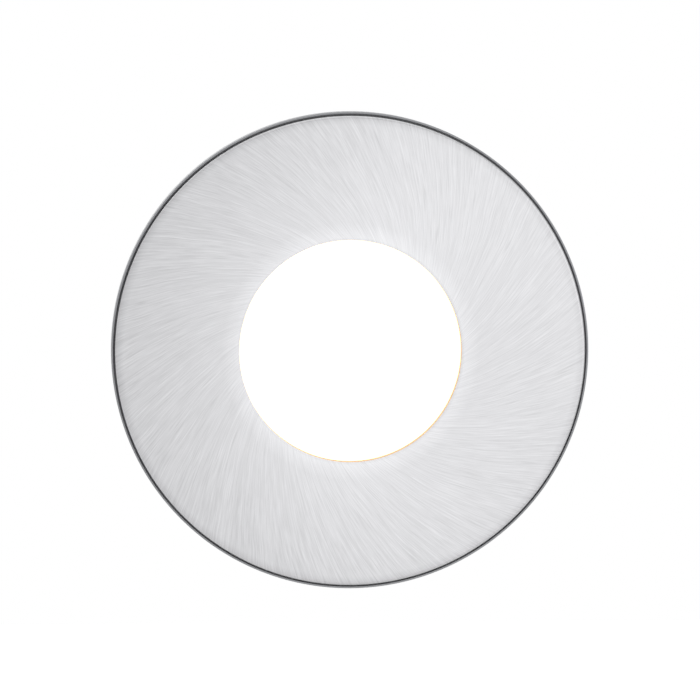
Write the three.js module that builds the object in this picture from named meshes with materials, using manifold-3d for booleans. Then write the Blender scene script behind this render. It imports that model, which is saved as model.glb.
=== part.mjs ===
// A round recessed light with a built-in LED, its lens, its clips and its driver.
// Lengths are in millimetres. The light looks towards -Y and +Z is up. The surface that the light
// is let into is the plane y = 0, so what shows has a negative y and the rest a positive one.
import * as THREE from 'three';
import { mergeVertices, toCreasedNormals } from 'three/addons/utils/BufferGeometryUtils.js';
import Module from 'manifold-3d';

const wasm = await Module();
wasm.setup();

// Clearances
const runningGap = 0.3;       // between pieces that pass or turn by each other
const seatGap = 0.2;          // between a turned piece and its seat
const holeClearance = 0.25;   // a hole's radius over the radius of its screw or pin
const overrun = 1;            // how far a cutter reaches past the face that it opens
const bond = 0.5;             // how far a joined piece reaches into the one that carries it

// Carrier flange
const flangeRadius = 42.5;
const rimWall = 0.3;
const rimFoot = 0.6;          // thickness of the rim where it reaches back round the gasket
const rimStand = 1.3;         // how far the rim stands in front of the plate
const rimLift = 0.2;          // how far the rim stays off the panel
const plateThickness = 1.4;
const plateRoom = 0.8;        // round the lens, in the hole that it shines through
const collarWall = 2;
const collarLength = 10;

// Panel gasket
const gasketThickness = 1;
const gasketWidth = 4.2;

// Bezel
const apertureRadius = 19.85;
const shadowGap = 0.35;       // dark gap between the bezel and the rim
const bezelSheet = 0.8;
const bezelStand = 2.7;       // from the flange's plate to the front of the bezel
const bezelCrown = 0.5;       // how far the face falls back from the aperture to the edge
const bezelLip = 2.3;         // length of the lip round the aperture
const bezelSeatGap = 0.1;
const outerRound = 0.5;
const innerRound = 0.5;
const crownSteps = 2;

// Magnets that hold the bezel
const magnetCount = 3;
const magnetRadius = 3;
const magnetRoom = 2.4;       // between the cup of a magnet and the skirt of the bezel
const magnetCupWall = 0.8;
const magnetCupHeight = 0.9;

// Lens and its gasket
const lensPlay = 0.45;        // between the lens and the edge of the aperture
const lensWall = 1.4;
const lensCrown = 0.4;
const lensRecess = 2.3;       // how far the edge of the lens lies behind the front of the bezel
const lensFlangeWidth = 3.4;
const lensFlangeThickness = 1.5;
const lensGasketThickness = 0.8;
const lensGasketInset = 0.3;
const lensRoom = 0.5;         // round the lens's flange

// Reflector, LED and what holds them
const cupWall = 1.3;
const throatShare = 4 / 9;    // radius of the reflector's throat over that of its mouth
const cupDepth = 7.7;
const cupFlangeThickness = 1.2;
const holderThickness = 1.6;
const holderRingWidth = 3;
const holderEarEnd = 2.1;     // from the axis of the holder's screw to the end of the ear
const holderEarWidth = 5;
const holderScrewStand = 4;   // from the reflector's throat to the axis of the holder's screw
const holderScrewLength = 6.4;
const ledBoardMargin = 0.6;   // from the end of the holder's ear to the edge of the board
const ledBoardThickness = 1.6;
const ledMargin = 1.5;        // between the LED and its holder
const ledThickness = 0.9;
const padThickness = 0.5;

// Heat sink
const spigotWall = 4.4;
const ledgeWidth = 1.1;       // step in the cavity that presses on the reflector's flange
const shoulderThickness = 5;
const coreRadius = 21.5;
const heatSinkRadius = 29.6;
const heatSinkEnd = 34;
const finThickness = 1.8;
const finsPerSide = 9;
const finStartDegrees = 26;
const clipPadHalf = 7.6;      // half the width of the flat side that carries a clip

// Screws
const screwShaft = 1.25;
const screwHead = 2.3;
const screwHeadHeight = 1.3;
const flangeScrewCount = 3;
const flangeScrewLength = 9;
const smallShaft = 0.9;
const smallHead = 1.6;
const smallHeadHeight = 1;
const smallScrewLength = 5;
const crossWidth = 0.6;
const crossDepth = 0.6;
const headDomeShare = 0.72;   // flat of a head's top over the head's radius
const headSideShare = 0.45;   // height of a head's side over the head's height

// Clips
const clipSheet = 1.2;
const pinRadius = 1.1;
const pinHead = 1.8;
const pinHeadHeight = 0.7;
const pinReach = 4.8;         // from the side of the heat sink to the axis of the pin
const bracketInset = 1.5;     // from the end of the heat sink to the bracket
const earRound = 2.3;
const earFlare = 2.5;
const bracketHalf = 8.5;
const bracketScrewSpan = 11.6;
const armRestDegrees = 12.5;
const armNotch = 4.2;         // room round the spring between the two tongues of an arm
const armTongue = 1.2;
const armTaperPlace = 8;
const armTaperLength = 4;
const armTipHalf = 4.8;
const sleeveWall = 0.9;
const sleeveLength = 7;
const sleevePass = 0.3;       // how far the sleeve passes the end of the arm

// Torsion springs of the clips
const wireRadius = 0.5;
const coilRadius = 2.4;       // from the axis of the pin to the middle of the wire
const coilTurns = 5;
const coilHalf = 4.2;
const stepsPerTurn = 8;
const wireSides = 5;
const fixedLeg = 5.2;
const fixedLegDegrees = 45;
const movingLeg = 8.6;
const hookRound = 0.7;
const hookSteps = 2;

// Driver box and its lid
const standoffCount = 3;
const standoffInset = 0.4;    // between the head of a stand-off's screw and the wall of the box
const standoffRadius = 2.6;
const standoffHeight = 7;
const standoffStud = 4;
const boxHalfZ = 18.5;
const grommetRoom = 3.25;     // between the lead's grommet and the wall of the box
const boxRound = 4.5;
const boxWall = 1.8;
const lidThickness = 1.8;
const hingeKnuckle = 1.9;
const hingePinRadius = 0.9;
const hingeStand = 2.2;       // from the wall of the box to the axis of the lid's pin
const hingeHalf = 15;
const boxKnuckleLength = 5.4;
const knuckleWeb = 4;
const tonguePlace = -14;
const tongueHalf = 4.5;
const tongueSheet = 1;
const tongueNib = 0.7;
const nibHeight = 1;
const catchDepth = 0.8;
const catchHeight = 1;
const catchDrop = 1.5;        // from the end of the box's wall to the catch

// Driver
const pcbThickness = 1.6;
const pcbLift = 2.2;          // from the floor of the box to the board
const pcbRoom = 0.8;          // between the board and the walls of the box
const pcbGlandRoom = 0.6;     // between the board and the end of the cable gland
const pcbPostRadius = 2;
const pcbPostInset = 3;
const transformerHeight = 11;
const transformerInset = 3;   // from the board's edge on the cable's side
const transformerScrewRoom = 0.8;
const transformerTerminalRoom = 4;
const transformerCapacitorRoom = 2.3;
const bobbinInset = 2.4;
const bobbinHeight = 3;
const capacitorRadius = 4.2;
const capacitorLength = 10;
const capacitorInset = 0.7;   // from the board's far edge
const capacitorRound = 0.6;

// Terminals
const poleCount = 3;
const polePitch = 6;
const terminalHeight = 10.4;
const terminalRoom = 2.4;     // between the terminals and the board's nearest post
const terminalLength = 12;
const terminalSetback = 9.5;  // from the edge of the board to the terminals' wire holes
const wireHoleRadius = 1.5;
const wireHoleHeight = 3.8;
const wireHoleDepth = 6;
const wellRadius = 1.9;
const wellDepth = 3.4;
const wellInset = 3.4;
const terminalScrewRadius = 1.6;
const terminalScrewHeight = 2.4;

// Cable gland
const glandBore = 3.8;
const glandThreadWall = 2;
const glandHexWall = 1.6;     // from the thread to the corners of the hexagon
const glandHexThickness = 3;
const glandTail = 4.4;        // thread in front of the hexagon
const glandInside = 3.6;      // thread inside the wall
const nutThickness = 2.6;
const nutFloorRoom = 1;       // between the nut and the floor of the box
const nutTopRoom = 1.4;       // between the nut and the end of the box's wall
const capWall = 1.5;
const capEnd = 1.4;
const capChamfer = 1.2;
const sealThickness = 1.6;
const sealBore = 3.6;

// Lead from the driver to the LED
const leadRadius = 1;
const leadRoom = 2.5;         // from the edge of the LED's board to the axis of the lead
const leadBend = 2.2;
const leadSides = 8;
const leadSteps = 24;
const halfCircleShare = 4 / 3;  // reach of a Bezier handle over the radius of its half circle
const channelRadius = 1.8;
const grommetRadius = 2.2;
const grommetLip = 1;
const grommetLipHeight = 0.7;

// Facets
const wideSides = 48;
const midSides = 32;
const innerSides = 24;
const smallSides = 12;
const screwSides = 8;
const hexSides = 6;
const roundSteps = 2;
const creaseDegrees = 35;
const mergeDistance = 0.0002;  // points closer than this are one point

// Places that follow from the sizes above
const quarterTurn = Math.PI / 2;
const fullTurn = 2 * Math.PI;
const lensRadius = apertureRadius - lensPlay;
const lensFlangeRadius = lensRadius + lensFlangeWidth;
const plateOpening = lensRadius + plateRoom;
const plateBack = -gasketThickness;
const plateFront = plateBack - plateThickness;
const rimInner = flangeRadius - rimWall;
const bezelRadius = rimInner - shadowGap;
const bezelFront = plateFront - bezelStand;
const magnetCupRadius = magnetRadius + holeClearance + magnetCupWall;
const magnetCircle = bezelRadius - bezelSheet - magnetRoom - magnetCupRadius;
const lensFlangeFront = plateBack + lensGasketThickness;
const lensFlangeBack = lensFlangeFront + lensFlangeThickness;
const ledgePlace = lensFlangeBack + cupFlangeThickness;
const cupThroat = (lensRadius - lensWall) * throatShare;
const holderScrewCircle = cupThroat + cupWall + holderScrewStand;
const holderEarReach = holderScrewCircle + holderEarEnd;
const ledBoardRadius = holderEarReach + ledBoardMargin;
const ledRadius = cupThroat - ledMargin;
const leadPlace = ledBoardRadius + leadRoom;
const holderFront = lensFlangeBack + cupDepth;
const ledBoardFront = holderFront + holderThickness;
const ledBoardBack = ledBoardFront + ledBoardThickness;
const cavityFloor = ledBoardBack + padThickness;
const cavityRadius = lensFlangeRadius + lensRoom;
const spigotRadius = cavityRadius + spigotWall;
const collarInner = spigotRadius + runningGap;
const collarEnd = plateBack + collarLength;
const shoulderFront = collarEnd + runningGap;
const shoulderBack = shoulderFront + shoulderThickness;
const flangeScrewCircle = (cavityRadius + spigotRadius) / 2;
const bracketBack = heatSinkRadius + seatGap;
const bracketFront = bracketBack + clipSheet;
const pinAxis = heatSinkRadius + pinReach;
const pinPlace = heatSinkEnd - bracketInset - bracketHalf;
const earInner = clipPadHalf - clipSheet;
const armRest = THREE.MathUtils.degToRad(armRestDegrees);
const glandThread = glandBore + glandThreadWall;
const glandHex = glandThread + glandHexWall;
const grommetLipRadius = grommetRadius + holeClearance + grommetLip;
const innerHalfX = leadPlace + grommetLipRadius + grommetRoom;
const innerHalfZ = boxHalfZ - boxWall;
const boxHalfX = innerHalfX + boxWall;
const boxFloor = heatSinkEnd + standoffHeight;
const boxInside = boxFloor + boxWall;
const glandY = boxInside + nutFloorRoom + glandHex;
const boxEnd = glandY + glandHex + nutTopRoom;
const standoffCircle = innerHalfZ - screwHead - standoffInset;
const pcbLow = boxInside + pcbLift;
const pcbHigh = pcbLow + pcbThickness;
const pcbHalf = innerHalfX - pcbRoom;
const pcbNear = glandInside + pcbGlandRoom - innerHalfZ;
const pcbFar = innerHalfZ - pcbRoom;
const terminalHalf = (polePitch * poleCount) / 2;
const lidLow = boxEnd + runningGap;
const lidHigh = lidLow + lidThickness;
const hingeY = boxEnd + runningGap / 2;
const hingeZ = boxHalfZ + hingeStand;
const glandPlace = pcbHalf - pcbPostInset - pcbPostRadius - terminalRoom - terminalHalf;
const terminalFront = pcbNear + terminalSetback;

// One closed surface: merged vertices, no empty triangles, faces pointing out
function closedSurface(geometry) {
  const bare = new THREE.BufferGeometry();
  bare.setAttribute('position', geometry.attributes.position);
  bare.setIndex(geometry.index);
  const merged = mergeVertices(bare, mergeDistance);
  const { array } = merged.index;
  const corners = [];
  const [a, b, c] = [new THREE.Vector3(), new THREE.Vector3(), new THREE.Vector3()];
  let volume = 0;
  for (let i = 0; i < array.length; i += 3) {
    const [p, q, r] = [array[i], array[i + 1], array[i + 2]];
    if (p === q || q === r || r === p) continue;
    corners.push(p, q, r);
    a.fromBufferAttribute(merged.attributes.position, p);
    b.fromBufferAttribute(merged.attributes.position, q);
    c.fromBufferAttribute(merged.attributes.position, r);
    volume += a.dot(b.cross(c));
  }
  merged.setIndex(volume < 0 ? corners.reverse() : corners);
  return merged;
}

function toSolid(geometry) {
  const closed = closedSurface(geometry);
  return new wasm.Manifold(new wasm.Mesh({
    numProp: 3,
    vertProperties: new Float32Array(closed.attributes.position.array),
    triVerts: new Uint32Array(closed.index.array),
  }));
}

function fromSolid(solid) {
  const mesh = solid.getMesh();
  const geometry = new THREE.BufferGeometry();
  geometry.setAttribute('position', new THREE.BufferAttribute(mesh.vertProperties, 3));
  geometry.setIndex(new THREE.BufferAttribute(mesh.triVerts, 1));
  return geometry;
}

function join(first, ...others) {
  return fromSolid(others.reduce((whole, next) => whole.add(toSolid(next)), toSolid(first)));
}

function cut(first, ...others) {
  return fromSolid(others.reduce((whole, next) => whole.subtract(toSolid(next)), toSolid(first)));
}

// A solid of revolution about Y, from points of [radius, y] that start and end on the axis
function turned(points, sides) {
  return new THREE.LatheGeometry(points.map(([radius, y]) => new THREE.Vector2(radius, y)), sides);
}

// The same for a ring, whose outline closes on itself
function ring(points, sides) {
  return turned([...points, points[0]], sides);
}

// A flat ring or disc between two places along Y
function washer(inner, outer, low, high, sides) {
  return ring([[inner, low], [outer, low], [outer, high], [inner, high]], sides);
}

function disc(radius, low, high, sides) {
  return turned([[0, low], [radius, low], [radius, high], [0, high]], sides);
}

function discAt(x, z, radius, low, high, sides) {
  return disc(radius, low, high, sides).translate(x, 0, z);
}

// Round bars along X and along Z
function barAlongX(radius, low, high, y, z, sides) {
  return disc(radius, low, high, sides).rotateZ(-quarterTurn).translate(0, y, z);
}

function barAlongZ(radius, low, high, x, y, sides) {
  return disc(radius, low, high, sides).rotateX(quarterTurn).translate(x, y, 0);
}

function block([xLow, xHigh], [yLow, yHigh], [zLow, zHigh]) {
  const box = new THREE.BoxGeometry(xHigh - xLow, yHigh - yLow, zHigh - zLow);
  return box.translate((xLow + xHigh) / 2, (yLow + yHigh) / 2, (zLow + zHigh) / 2);
}

// Points on an arc in the plane of a lathe outline
function arc(radius, y, round, fromQuarter, toQuarter, steps) {
  return Array.from({ length: steps + 1 }, (_, i) => {
    const angle = quarterTurn * (fromQuarter + ((toQuarter - fromQuarter) * i) / steps);
    return [radius + round * Math.cos(angle), y + round * Math.sin(angle)];
  });
}

function roundedRectangle(halfWidth, halfHeight, round) {
  const shape = new THREE.Shape();
  shape.absarc(halfWidth - round, halfHeight - round, round, 0, quarterTurn);
  shape.absarc(round - halfWidth, halfHeight - round, round, quarterTurn, 2 * quarterTurn);
  shape.absarc(round - halfWidth, round - halfHeight, round, 2 * quarterTurn, 3 * quarterTurn);
  shape.absarc(halfWidth - round, round - halfHeight, round, 3 * quarterTurn, fullTurn);
  shape.closePath();
  return shape;
}

// An outline in x and z, given a thickness along Y
function slab(shape, low, high) {
  const options = { depth: high - low, bevelEnabled: false, curveSegments: roundSteps / 2 };
  return new THREE.ExtrudeGeometry(shape, options).rotateX(quarterTurn).translate(0, high, 0);
}

// An outline in x and y, given a thickness along Z
function sheetAcrossZ(shape, low, high) {
  const options = { depth: high - low, bevelEnabled: false, curveSegments: smallSides / 4 };
  return new THREE.ExtrudeGeometry(shape, options).translate(0, 0, low);
}

// Places on a circle round the optical axis, the first one at the top
function around(count, radius) {
  return Array.from({ length: count }, (_, i) => {
    const angle = quarterTurn + (fullTurn * i) / count;
    return { x: radius * Math.cos(angle), z: radius * Math.sin(angle) };
  });
}

function crossCutter(reach, top, bottom) {
  const half = crossWidth / 2;
  return [
    block([-reach, reach], [top, bottom], [-half, half]),
    block([-half, half], [top, bottom], [-reach, reach]),
  ];
}

// A screw along +Y with its head's seat at y = 0 and a cross recess in the head
function screw(shaft, head, headHeight, length) {
  const body = turned([
    [0, -headHeight],
    [head * headDomeShare, -headHeight],
    [head, -headHeight * headSideShare],
    [head, 0],
    [shaft, 0],
    [shaft, length],
    [0, length],
  ], screwSides);
  const reach = head * headDomeShare;
  return cut(body, ...crossCutter(reach, -headHeight - overrun, -headHeight + crossDepth));
}

function largeScrew(length) {
  return screw(screwShaft, screwHead, screwHeadHeight, length);
}

function smallScrew(length) {
  return screw(smallShaft, smallHead, smallHeadHeight, length);
}

const finishes = {
  brushedSteel: { color: 0xc9c9cb, roughness: 0.38, metalness: 1 },
  greyAluminium: { color: 0xb4b6b9, roughness: 0.5, metalness: 0.9 },
  castAluminium: { color: 0x9c9ea1, roughness: 0.6, metalness: 0.9 },
  zincSteel: { color: 0xbfc2c6, roughness: 0.35, metalness: 1 },
  springSteel: { color: 0x8d9094, roughness: 0.3, metalness: 1 },
  magnet: { color: 0xd0d0d2, roughness: 0.25, metalness: 1 },
  foam: { color: 0x3a3b3d, roughness: 0.95, metalness: 0 },
  silicone: { color: 0xd9d9d6, roughness: 0.6, metalness: 0 },
  opal: { color: 0xfffbf2, roughness: 0.4, metalness: 0 },
  whitePlastic: { color: 0xf0f0ee, roughness: 0.5, metalness: 0 },
  greyPlastic: { color: 0x8f9194, roughness: 0.55, metalness: 0 },
  blackRubber: { color: 0x232324, roughness: 0.85, metalness: 0 },
  phosphor: { color: 0xf2c544, roughness: 0.6, metalness: 0 },
  whiteBoard: { color: 0xeeeeea, roughness: 0.4, metalness: 0 },
  thermalPad: { color: 0x8aa0b4, roughness: 0.8, metalness: 0 },
  greenBoard: { color: 0x2f6b46, roughness: 0.45, metalness: 0 },
  ferrite: { color: 0x37383a, roughness: 0.6, metalness: 0 },
  capacitorSleeve: { color: 0x2b3550, roughness: 0.4, metalness: 0 },
};

const light = new THREE.Group();

function piece(parent, name, geometry, finish) {
  const shown = toCreasedNormals(closedSurface(geometry), THREE.MathUtils.degToRad(creaseDegrees));
  const mesh = new THREE.Mesh(shown, new THREE.MeshStandardMaterial(finishes[finish]));
  mesh.name = name;
  parent.add(mesh);
  return mesh;
}

// The carrier flange: plate, rim, collar and the cups of the magnets
function carrierFlange() {
  const body = ring([
    [plateOpening, plateFront],
    [rimInner, plateFront],
    [rimInner, plateFront - rimStand],
    [flangeRadius, plateFront - rimStand],
    [flangeRadius, -rimLift],
    [flangeRadius - rimFoot, -rimLift],
    [flangeRadius - rimFoot, plateBack],
    [collarInner + collarWall, plateBack],
    [collarInner + collarWall, collarEnd],
    [collarInner, collarEnd],
    [collarInner, plateBack],
    [plateOpening, plateBack],
  ], wideSides);
  const cupTop = plateFront - magnetCupHeight;
  const cups = around(magnetCount, magnetCircle).map(({ x, z }) => (
    discAt(x, -z, magnetCupRadius, cupTop, plateFront + bond, smallSides)));
  const cupBores = around(magnetCount, magnetCircle).map(({ x, z }) => (
    discAt(x, -z, magnetRadius + holeClearance, cupTop - overrun, plateFront, smallSides)));
  const holes = around(flangeScrewCount, flangeScrewCircle).map(({ x, z }) => discAt(
    x, z, screwShaft + holeClearance, plateFront - overrun, plateBack + overrun, screwSides));
  return cut(join(body, ...cups), ...cupBores, ...holes);
}

// The face of the bezel falls back slowly from the aperture to its edge
function bezelFace(radius) {
  const share = (radius - apertureRadius) / (bezelRadius - apertureRadius);
  return bezelFront + bezelCrown * share ** 2;
}

function frontBezel() {
  const innerStart = apertureRadius + innerRound;
  const outerStart = bezelRadius - outerRound;
  const crown = Array.from({ length: crownSteps - 1 }, (_, i) => (
    innerStart + ((outerStart - innerStart) * (i + 1)) / crownSteps));
  const edge = bezelFace(outerStart) + outerRound;
  const skirtEnd = plateFront - bezelSeatGap;
  const lipEnd = bezelFront + bezelLip;
  return ring([
    [apertureRadius, lipEnd],
    ...arc(innerStart, bezelFront + innerRound, innerRound, 2, 3, roundSteps),
    ...crown.map((radius) => [radius, bezelFace(radius)]),
    ...arc(outerStart, edge, outerRound, 3, 4, roundSteps),
    [bezelRadius, skirtEnd],
    [bezelRadius - bezelSheet, skirtEnd],
    [bezelRadius - bezelSheet, bezelFace(bezelRadius - bezelSheet) + bezelSheet],
    ...crown.reverse().map((radius) => [radius, bezelFace(radius) + bezelSheet]),
    [apertureRadius + bezelSheet, bezelFront + bezelSheet],
    [apertureRadius + bezelSheet, lipEnd],
  ], wideSides);
}

function trim() {
  const gasketOuter = flangeRadius - rimFoot - runningGap;
  const gasket = washer(gasketOuter - gasketWidth, gasketOuter, plateBack, 0, wideSides);
  piece(light, 'front_bezel', frontBezel(), 'brushedSteel');
  piece(light, 'carrier_flange', carrierFlange(), 'greyAluminium');
  piece(light, 'panel_gasket', gasket, 'foam');
  const magnetFront = bezelFace(magnetCircle + magnetRadius) + bezelSheet + bezelSeatGap;
  around(magnetCount, magnetCircle).forEach(({ x, z }, i) => {
    const magnet = disc(magnetRadius, magnetFront, plateFront, smallSides);
    piece(light, `bezel_magnet_${i + 1}`, magnet, 'magnet').position.set(x, 0, -z);
  });
  around(flangeScrewCount, flangeScrewCircle).forEach(({ x, z }, i) => {
    const fastener = piece(light, `housing_screw_${i + 1}`, largeScrew(flangeScrewLength), 'zincSteel');
    fastener.position.set(x, plateFront, z);
  });
}

// The lens is a shallow cap with a flange, which the reflector presses on the gasket
function diffuserLens() {
  const edge = bezelFront + lensRecess;
  const front = Array.from({ length: crownSteps }, (_, i) => {
    const share = i / crownSteps;
    return [(lensRadius - bezelSheet) * share, edge - lensCrown * (1 - share ** 2)];
  });
  const inner = lensRadius - lensWall;
  return turned([
    ...front,
    [lensRadius - bezelSheet, edge],
    [lensRadius, edge + bezelSheet],
    [lensRadius, lensFlangeFront],
    [lensFlangeRadius, lensFlangeFront],
    [lensFlangeRadius, lensFlangeBack],
    [inner, lensFlangeBack],
    [inner, edge + lensWall],
    [0, edge - lensCrown + lensWall],
  ], midSides);
}

function reflectorCup() {
  const rim = lensRadius - lensWall;
  return ring([
    [rim, lensFlangeBack],
    [cavityRadius - runningGap, lensFlangeBack],
    [cavityRadius - runningGap, ledgePlace],
    [rim + cupWall, ledgePlace],
    [cupThroat + cupWall, holderFront],
    [cupThroat, holderFront],
  ], midSides);
}

const holderScrewPlaces = [holderScrewCircle, -holderScrewCircle];

function holderHoles(low, high) {
  return holderScrewPlaces.map((z) => (
    discAt(0, z, smallShaft + holeClearance, low - overrun, high + overrun, screwSides)));
}

function ledHolder() {
  const body = washer(cupThroat, cupThroat + holderRingWidth, holderFront, ledBoardFront, innerSides);
  const ears = [1, -1].map((side) => {
    const reach = [side * (cupThroat + bond), side * holderEarReach].sort((p, q) => p - q);
    const half = holderEarWidth / 2;
    return block([-half, half], [holderFront, ledBoardFront], reach);
  });
  return cut(join(body, ...ears), ...holderHoles(holderFront, ledBoardFront));
}

function opticsAndLed() {
  const gasketInner = plateOpening + lensGasketInset;
  const gasketOuter = lensFlangeRadius;
  const gasket = washer(gasketInner, gasketOuter, plateBack, lensFlangeFront, midSides);
  const board = disc(ledBoardRadius, ledBoardFront, ledBoardBack, innerSides);
  const pad = disc(ledBoardRadius, ledBoardBack, cavityFloor, innerSides);
  const chip = turned([
    [0, ledBoardFront - ledThickness],
    [ledRadius - ledThickness, ledBoardFront - ledThickness],
    [ledRadius, ledBoardFront],
    [0, ledBoardFront],
  ], innerSides);
  piece(light, 'diffuser_lens', diffuserLens(), 'opal');
  piece(light, 'lens_gasket', gasket, 'silicone');
  piece(light, 'reflector_cup', reflectorCup(), 'whitePlastic');
  piece(light, 'led_holder', ledHolder(), 'whitePlastic');
  piece(light, 'led_chip', chip, 'phosphor');
  piece(light, 'led_board', cut(board, ...holderHoles(ledBoardFront, ledBoardBack)), 'whiteBoard');
  piece(light, 'thermal_pad', cut(pad, ...holderHoles(ledBoardBack, cavityFloor)), 'thermalPad');
  holderScrewPlaces.forEach((z, i) => {
    const fastener = piece(light, `holder_screw_${i + 1}`, smallScrew(holderScrewLength), 'zincSteel');
    fastener.position.set(0, holderFront, z);
  });
}

const standoffPlaces = around(standoffCount, standoffCircle);
const bracketScrewPlaces = [pinPlace - bracketScrewSpan / 2, pinPlace + bracketScrewSpan / 2];

// The heat sink: a cup for the LED in front, a core with fins behind, and a flat for each clip
function heatSink() {
  const body = turned([
    [0, cavityFloor],
    [lensFlangeRadius - ledgeWidth, cavityFloor],
    [lensFlangeRadius - ledgeWidth, ledgePlace],
    [cavityRadius, ledgePlace],
    [cavityRadius, plateBack],
    [spigotRadius, plateBack],
    [spigotRadius, shoulderFront],
    [heatSinkRadius, shoulderFront],
    [heatSinkRadius, shoulderBack],
    [coreRadius, shoulderBack],
    [coreRadius, heatSinkEnd],
    [0, heatSinkEnd],
  ], midSides);
  const depth = [shoulderBack - bond, heatSinkEnd];
  const start = THREE.MathUtils.degToRad(finStartDegrees);
  const step = (2 * quarterTurn - 2 * start) / (finsPerSide - 1);
  const fins = [];
  for (const side of [0, 2 * quarterTurn]) {
    for (let i = 0; i < finsPerSide; i += 1) {
      const half = finThickness / 2;
      const fin = block([coreRadius - bond - half, heatSinkRadius], depth, [-half, half]);
      fins.push(fin.rotateY(side + start + i * step));
    }
    const flat = [-clipPadHalf, clipPadHalf];
    fins.push(block([coreRadius - finThickness, heatSinkRadius], depth, flat).rotateY(side));
  }
  const bore = screwShaft + holeClearance;
  const screwEnd = plateFront + flangeScrewLength + overrun;
  const screwHoles = around(flangeScrewCount, flangeScrewCircle).map(({ x, z }) => (
    discAt(x, z, bore, plateBack - overrun, screwEnd, screwSides)));
  const studEnd = heatSinkEnd - standoffStud - overrun;
  const standoffHoles = standoffPlaces.map(({ x, z }) => (
    discAt(x, z, bore, studEnd, heatSinkEnd + overrun, screwSides)));
  const holderDepth = holderFront + holderScrewLength;
  const bracketHoles = bracketScrewPlaces.flatMap((y) => [1, -1].map((side) => barAlongX(
    smallShaft + holeClearance,
    side > 0 ? heatSinkRadius - smallScrewLength : -heatSinkRadius - overrun,
    side > 0 ? heatSinkRadius + overrun : smallScrewLength - heatSinkRadius,
    y,
    0,
    screwSides,
  )));
  const channel = discAt(
    -leadPlace, 0, channelRadius, cavityFloor - overrun, heatSinkEnd + overrun, screwSides);
  return cut(
    join(body, ...fins),
    ...screwHoles,
    ...standoffHoles,
    ...holderHoles(cavityFloor, holderDepth),
    ...bracketHoles,
    channel,
  );
}

// A pressed bracket: a back plate with two ears that hold the pin
function clipBracket() {
  const height = [pinPlace - bracketHalf, pinPlace + bracketHalf];
  const back = block([bracketBack, bracketFront], height, [-clipPadHalf, clipPadHalf]);
  const ear = new THREE.Shape();
  ear.moveTo(bracketBack, pinPlace - earRound - earFlare);
  ear.absarc(pinAxis, pinPlace, earRound, -quarterTurn, quarterTurn);
  ear.lineTo(bracketBack, pinPlace + earRound + earFlare);
  ear.closePath();
  const holes = bracketScrewPlaces.map((y) => barAlongX(
    smallShaft + holeClearance, bracketBack - overrun, bracketFront + overrun, y, 0, screwSides));
  return cut(
    join(back, sheetAcrossZ(ear, earInner, clipPadHalf), sheetAcrossZ(ear, -clipPadHalf, -earInner)),
    barAlongZ(pinRadius + holeClearance, -clipPadHalf - overrun, clipPadHalf + overrun, pinAxis, pinPlace,
      smallSides),
    ...holes,
  );
}

function clipPin() {
  const half = clipPadHalf + seatGap;
  return turned([
    [0, -half - pinHeadHeight],
    [pinHead - pinHeadHeight / 2, -half - pinHeadHeight],
    [pinHead, -half],
    [pinRadius, -half],
    [pinRadius, half],
    [pinHead, half],
    [pinHead - pinHeadHeight / 2, half + pinHeadHeight],
    [0, half + pinHeadHeight],
  ], smallSides).rotateX(quarterTurn);
}

// At rest the sleeve's lower corner lies a running gap off the gasket
const sleeveHalf = clipSheet / 2 + holeClearance + sleeveWall;
const armReach = (pinPlace - runningGap - sleeveHalf * Math.sin(armRest)) / Math.cos(armRest) - sleevePass;
const armHalf = earInner - runningGap;

// An arm hangs down from the pin at the origin, with two tongues that leave room for the spring
function clipArm() {
  const outline = [
    [armHalf, 0],
    [armHalf, -armTaperPlace],
    [armTipHalf, -armTaperPlace - armTaperLength],
    [armTipHalf, -armReach],
    [-armTipHalf, -armReach],
    [-armTipHalf, -armTaperPlace - armTaperLength],
    [-armHalf, -armTaperPlace],
    [-armHalf, 0],
    [armTongue - armHalf, 0],
    [armTongue - armHalf, -armNotch],
    [armHalf - armTongue, -armNotch],
    [armHalf - armTongue, 0],
  ].map(([across, along]) => new THREE.Vector2(across, along));
  const sheet = sheetAcrossZ(new THREE.Shape(outline), -clipSheet / 2, clipSheet / 2);
  return cut(
    join(
      sheet.rotateY(quarterTurn),
      barAlongZ(earRound, armHalf - armTongue, armHalf, 0, 0, smallSides),
      barAlongZ(earRound, -armHalf, armTongue - armHalf, 0, 0, smallSides),
    ),
    barAlongZ(pinRadius + holeClearance, -armHalf - overrun, armHalf + overrun, 0, 0, smallSides),
  );
}

function clipSleeve() {
  const boreX = clipSheet / 2 + holeClearance;
  const boreZ = armTipHalf + holeClearance;
  const outside = roundedRectangle(sleeveHalf, boreZ + sleeveWall, sleeveWall);
  const inside = block(
    [-boreX, boreX], [-armReach - sleevePass - overrun, sleeveLength - armReach + overrun], [-boreZ, boreZ]);
  return cut(slab(outside, -armReach - sleevePass, sleeveLength - armReach), inside);
}

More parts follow.
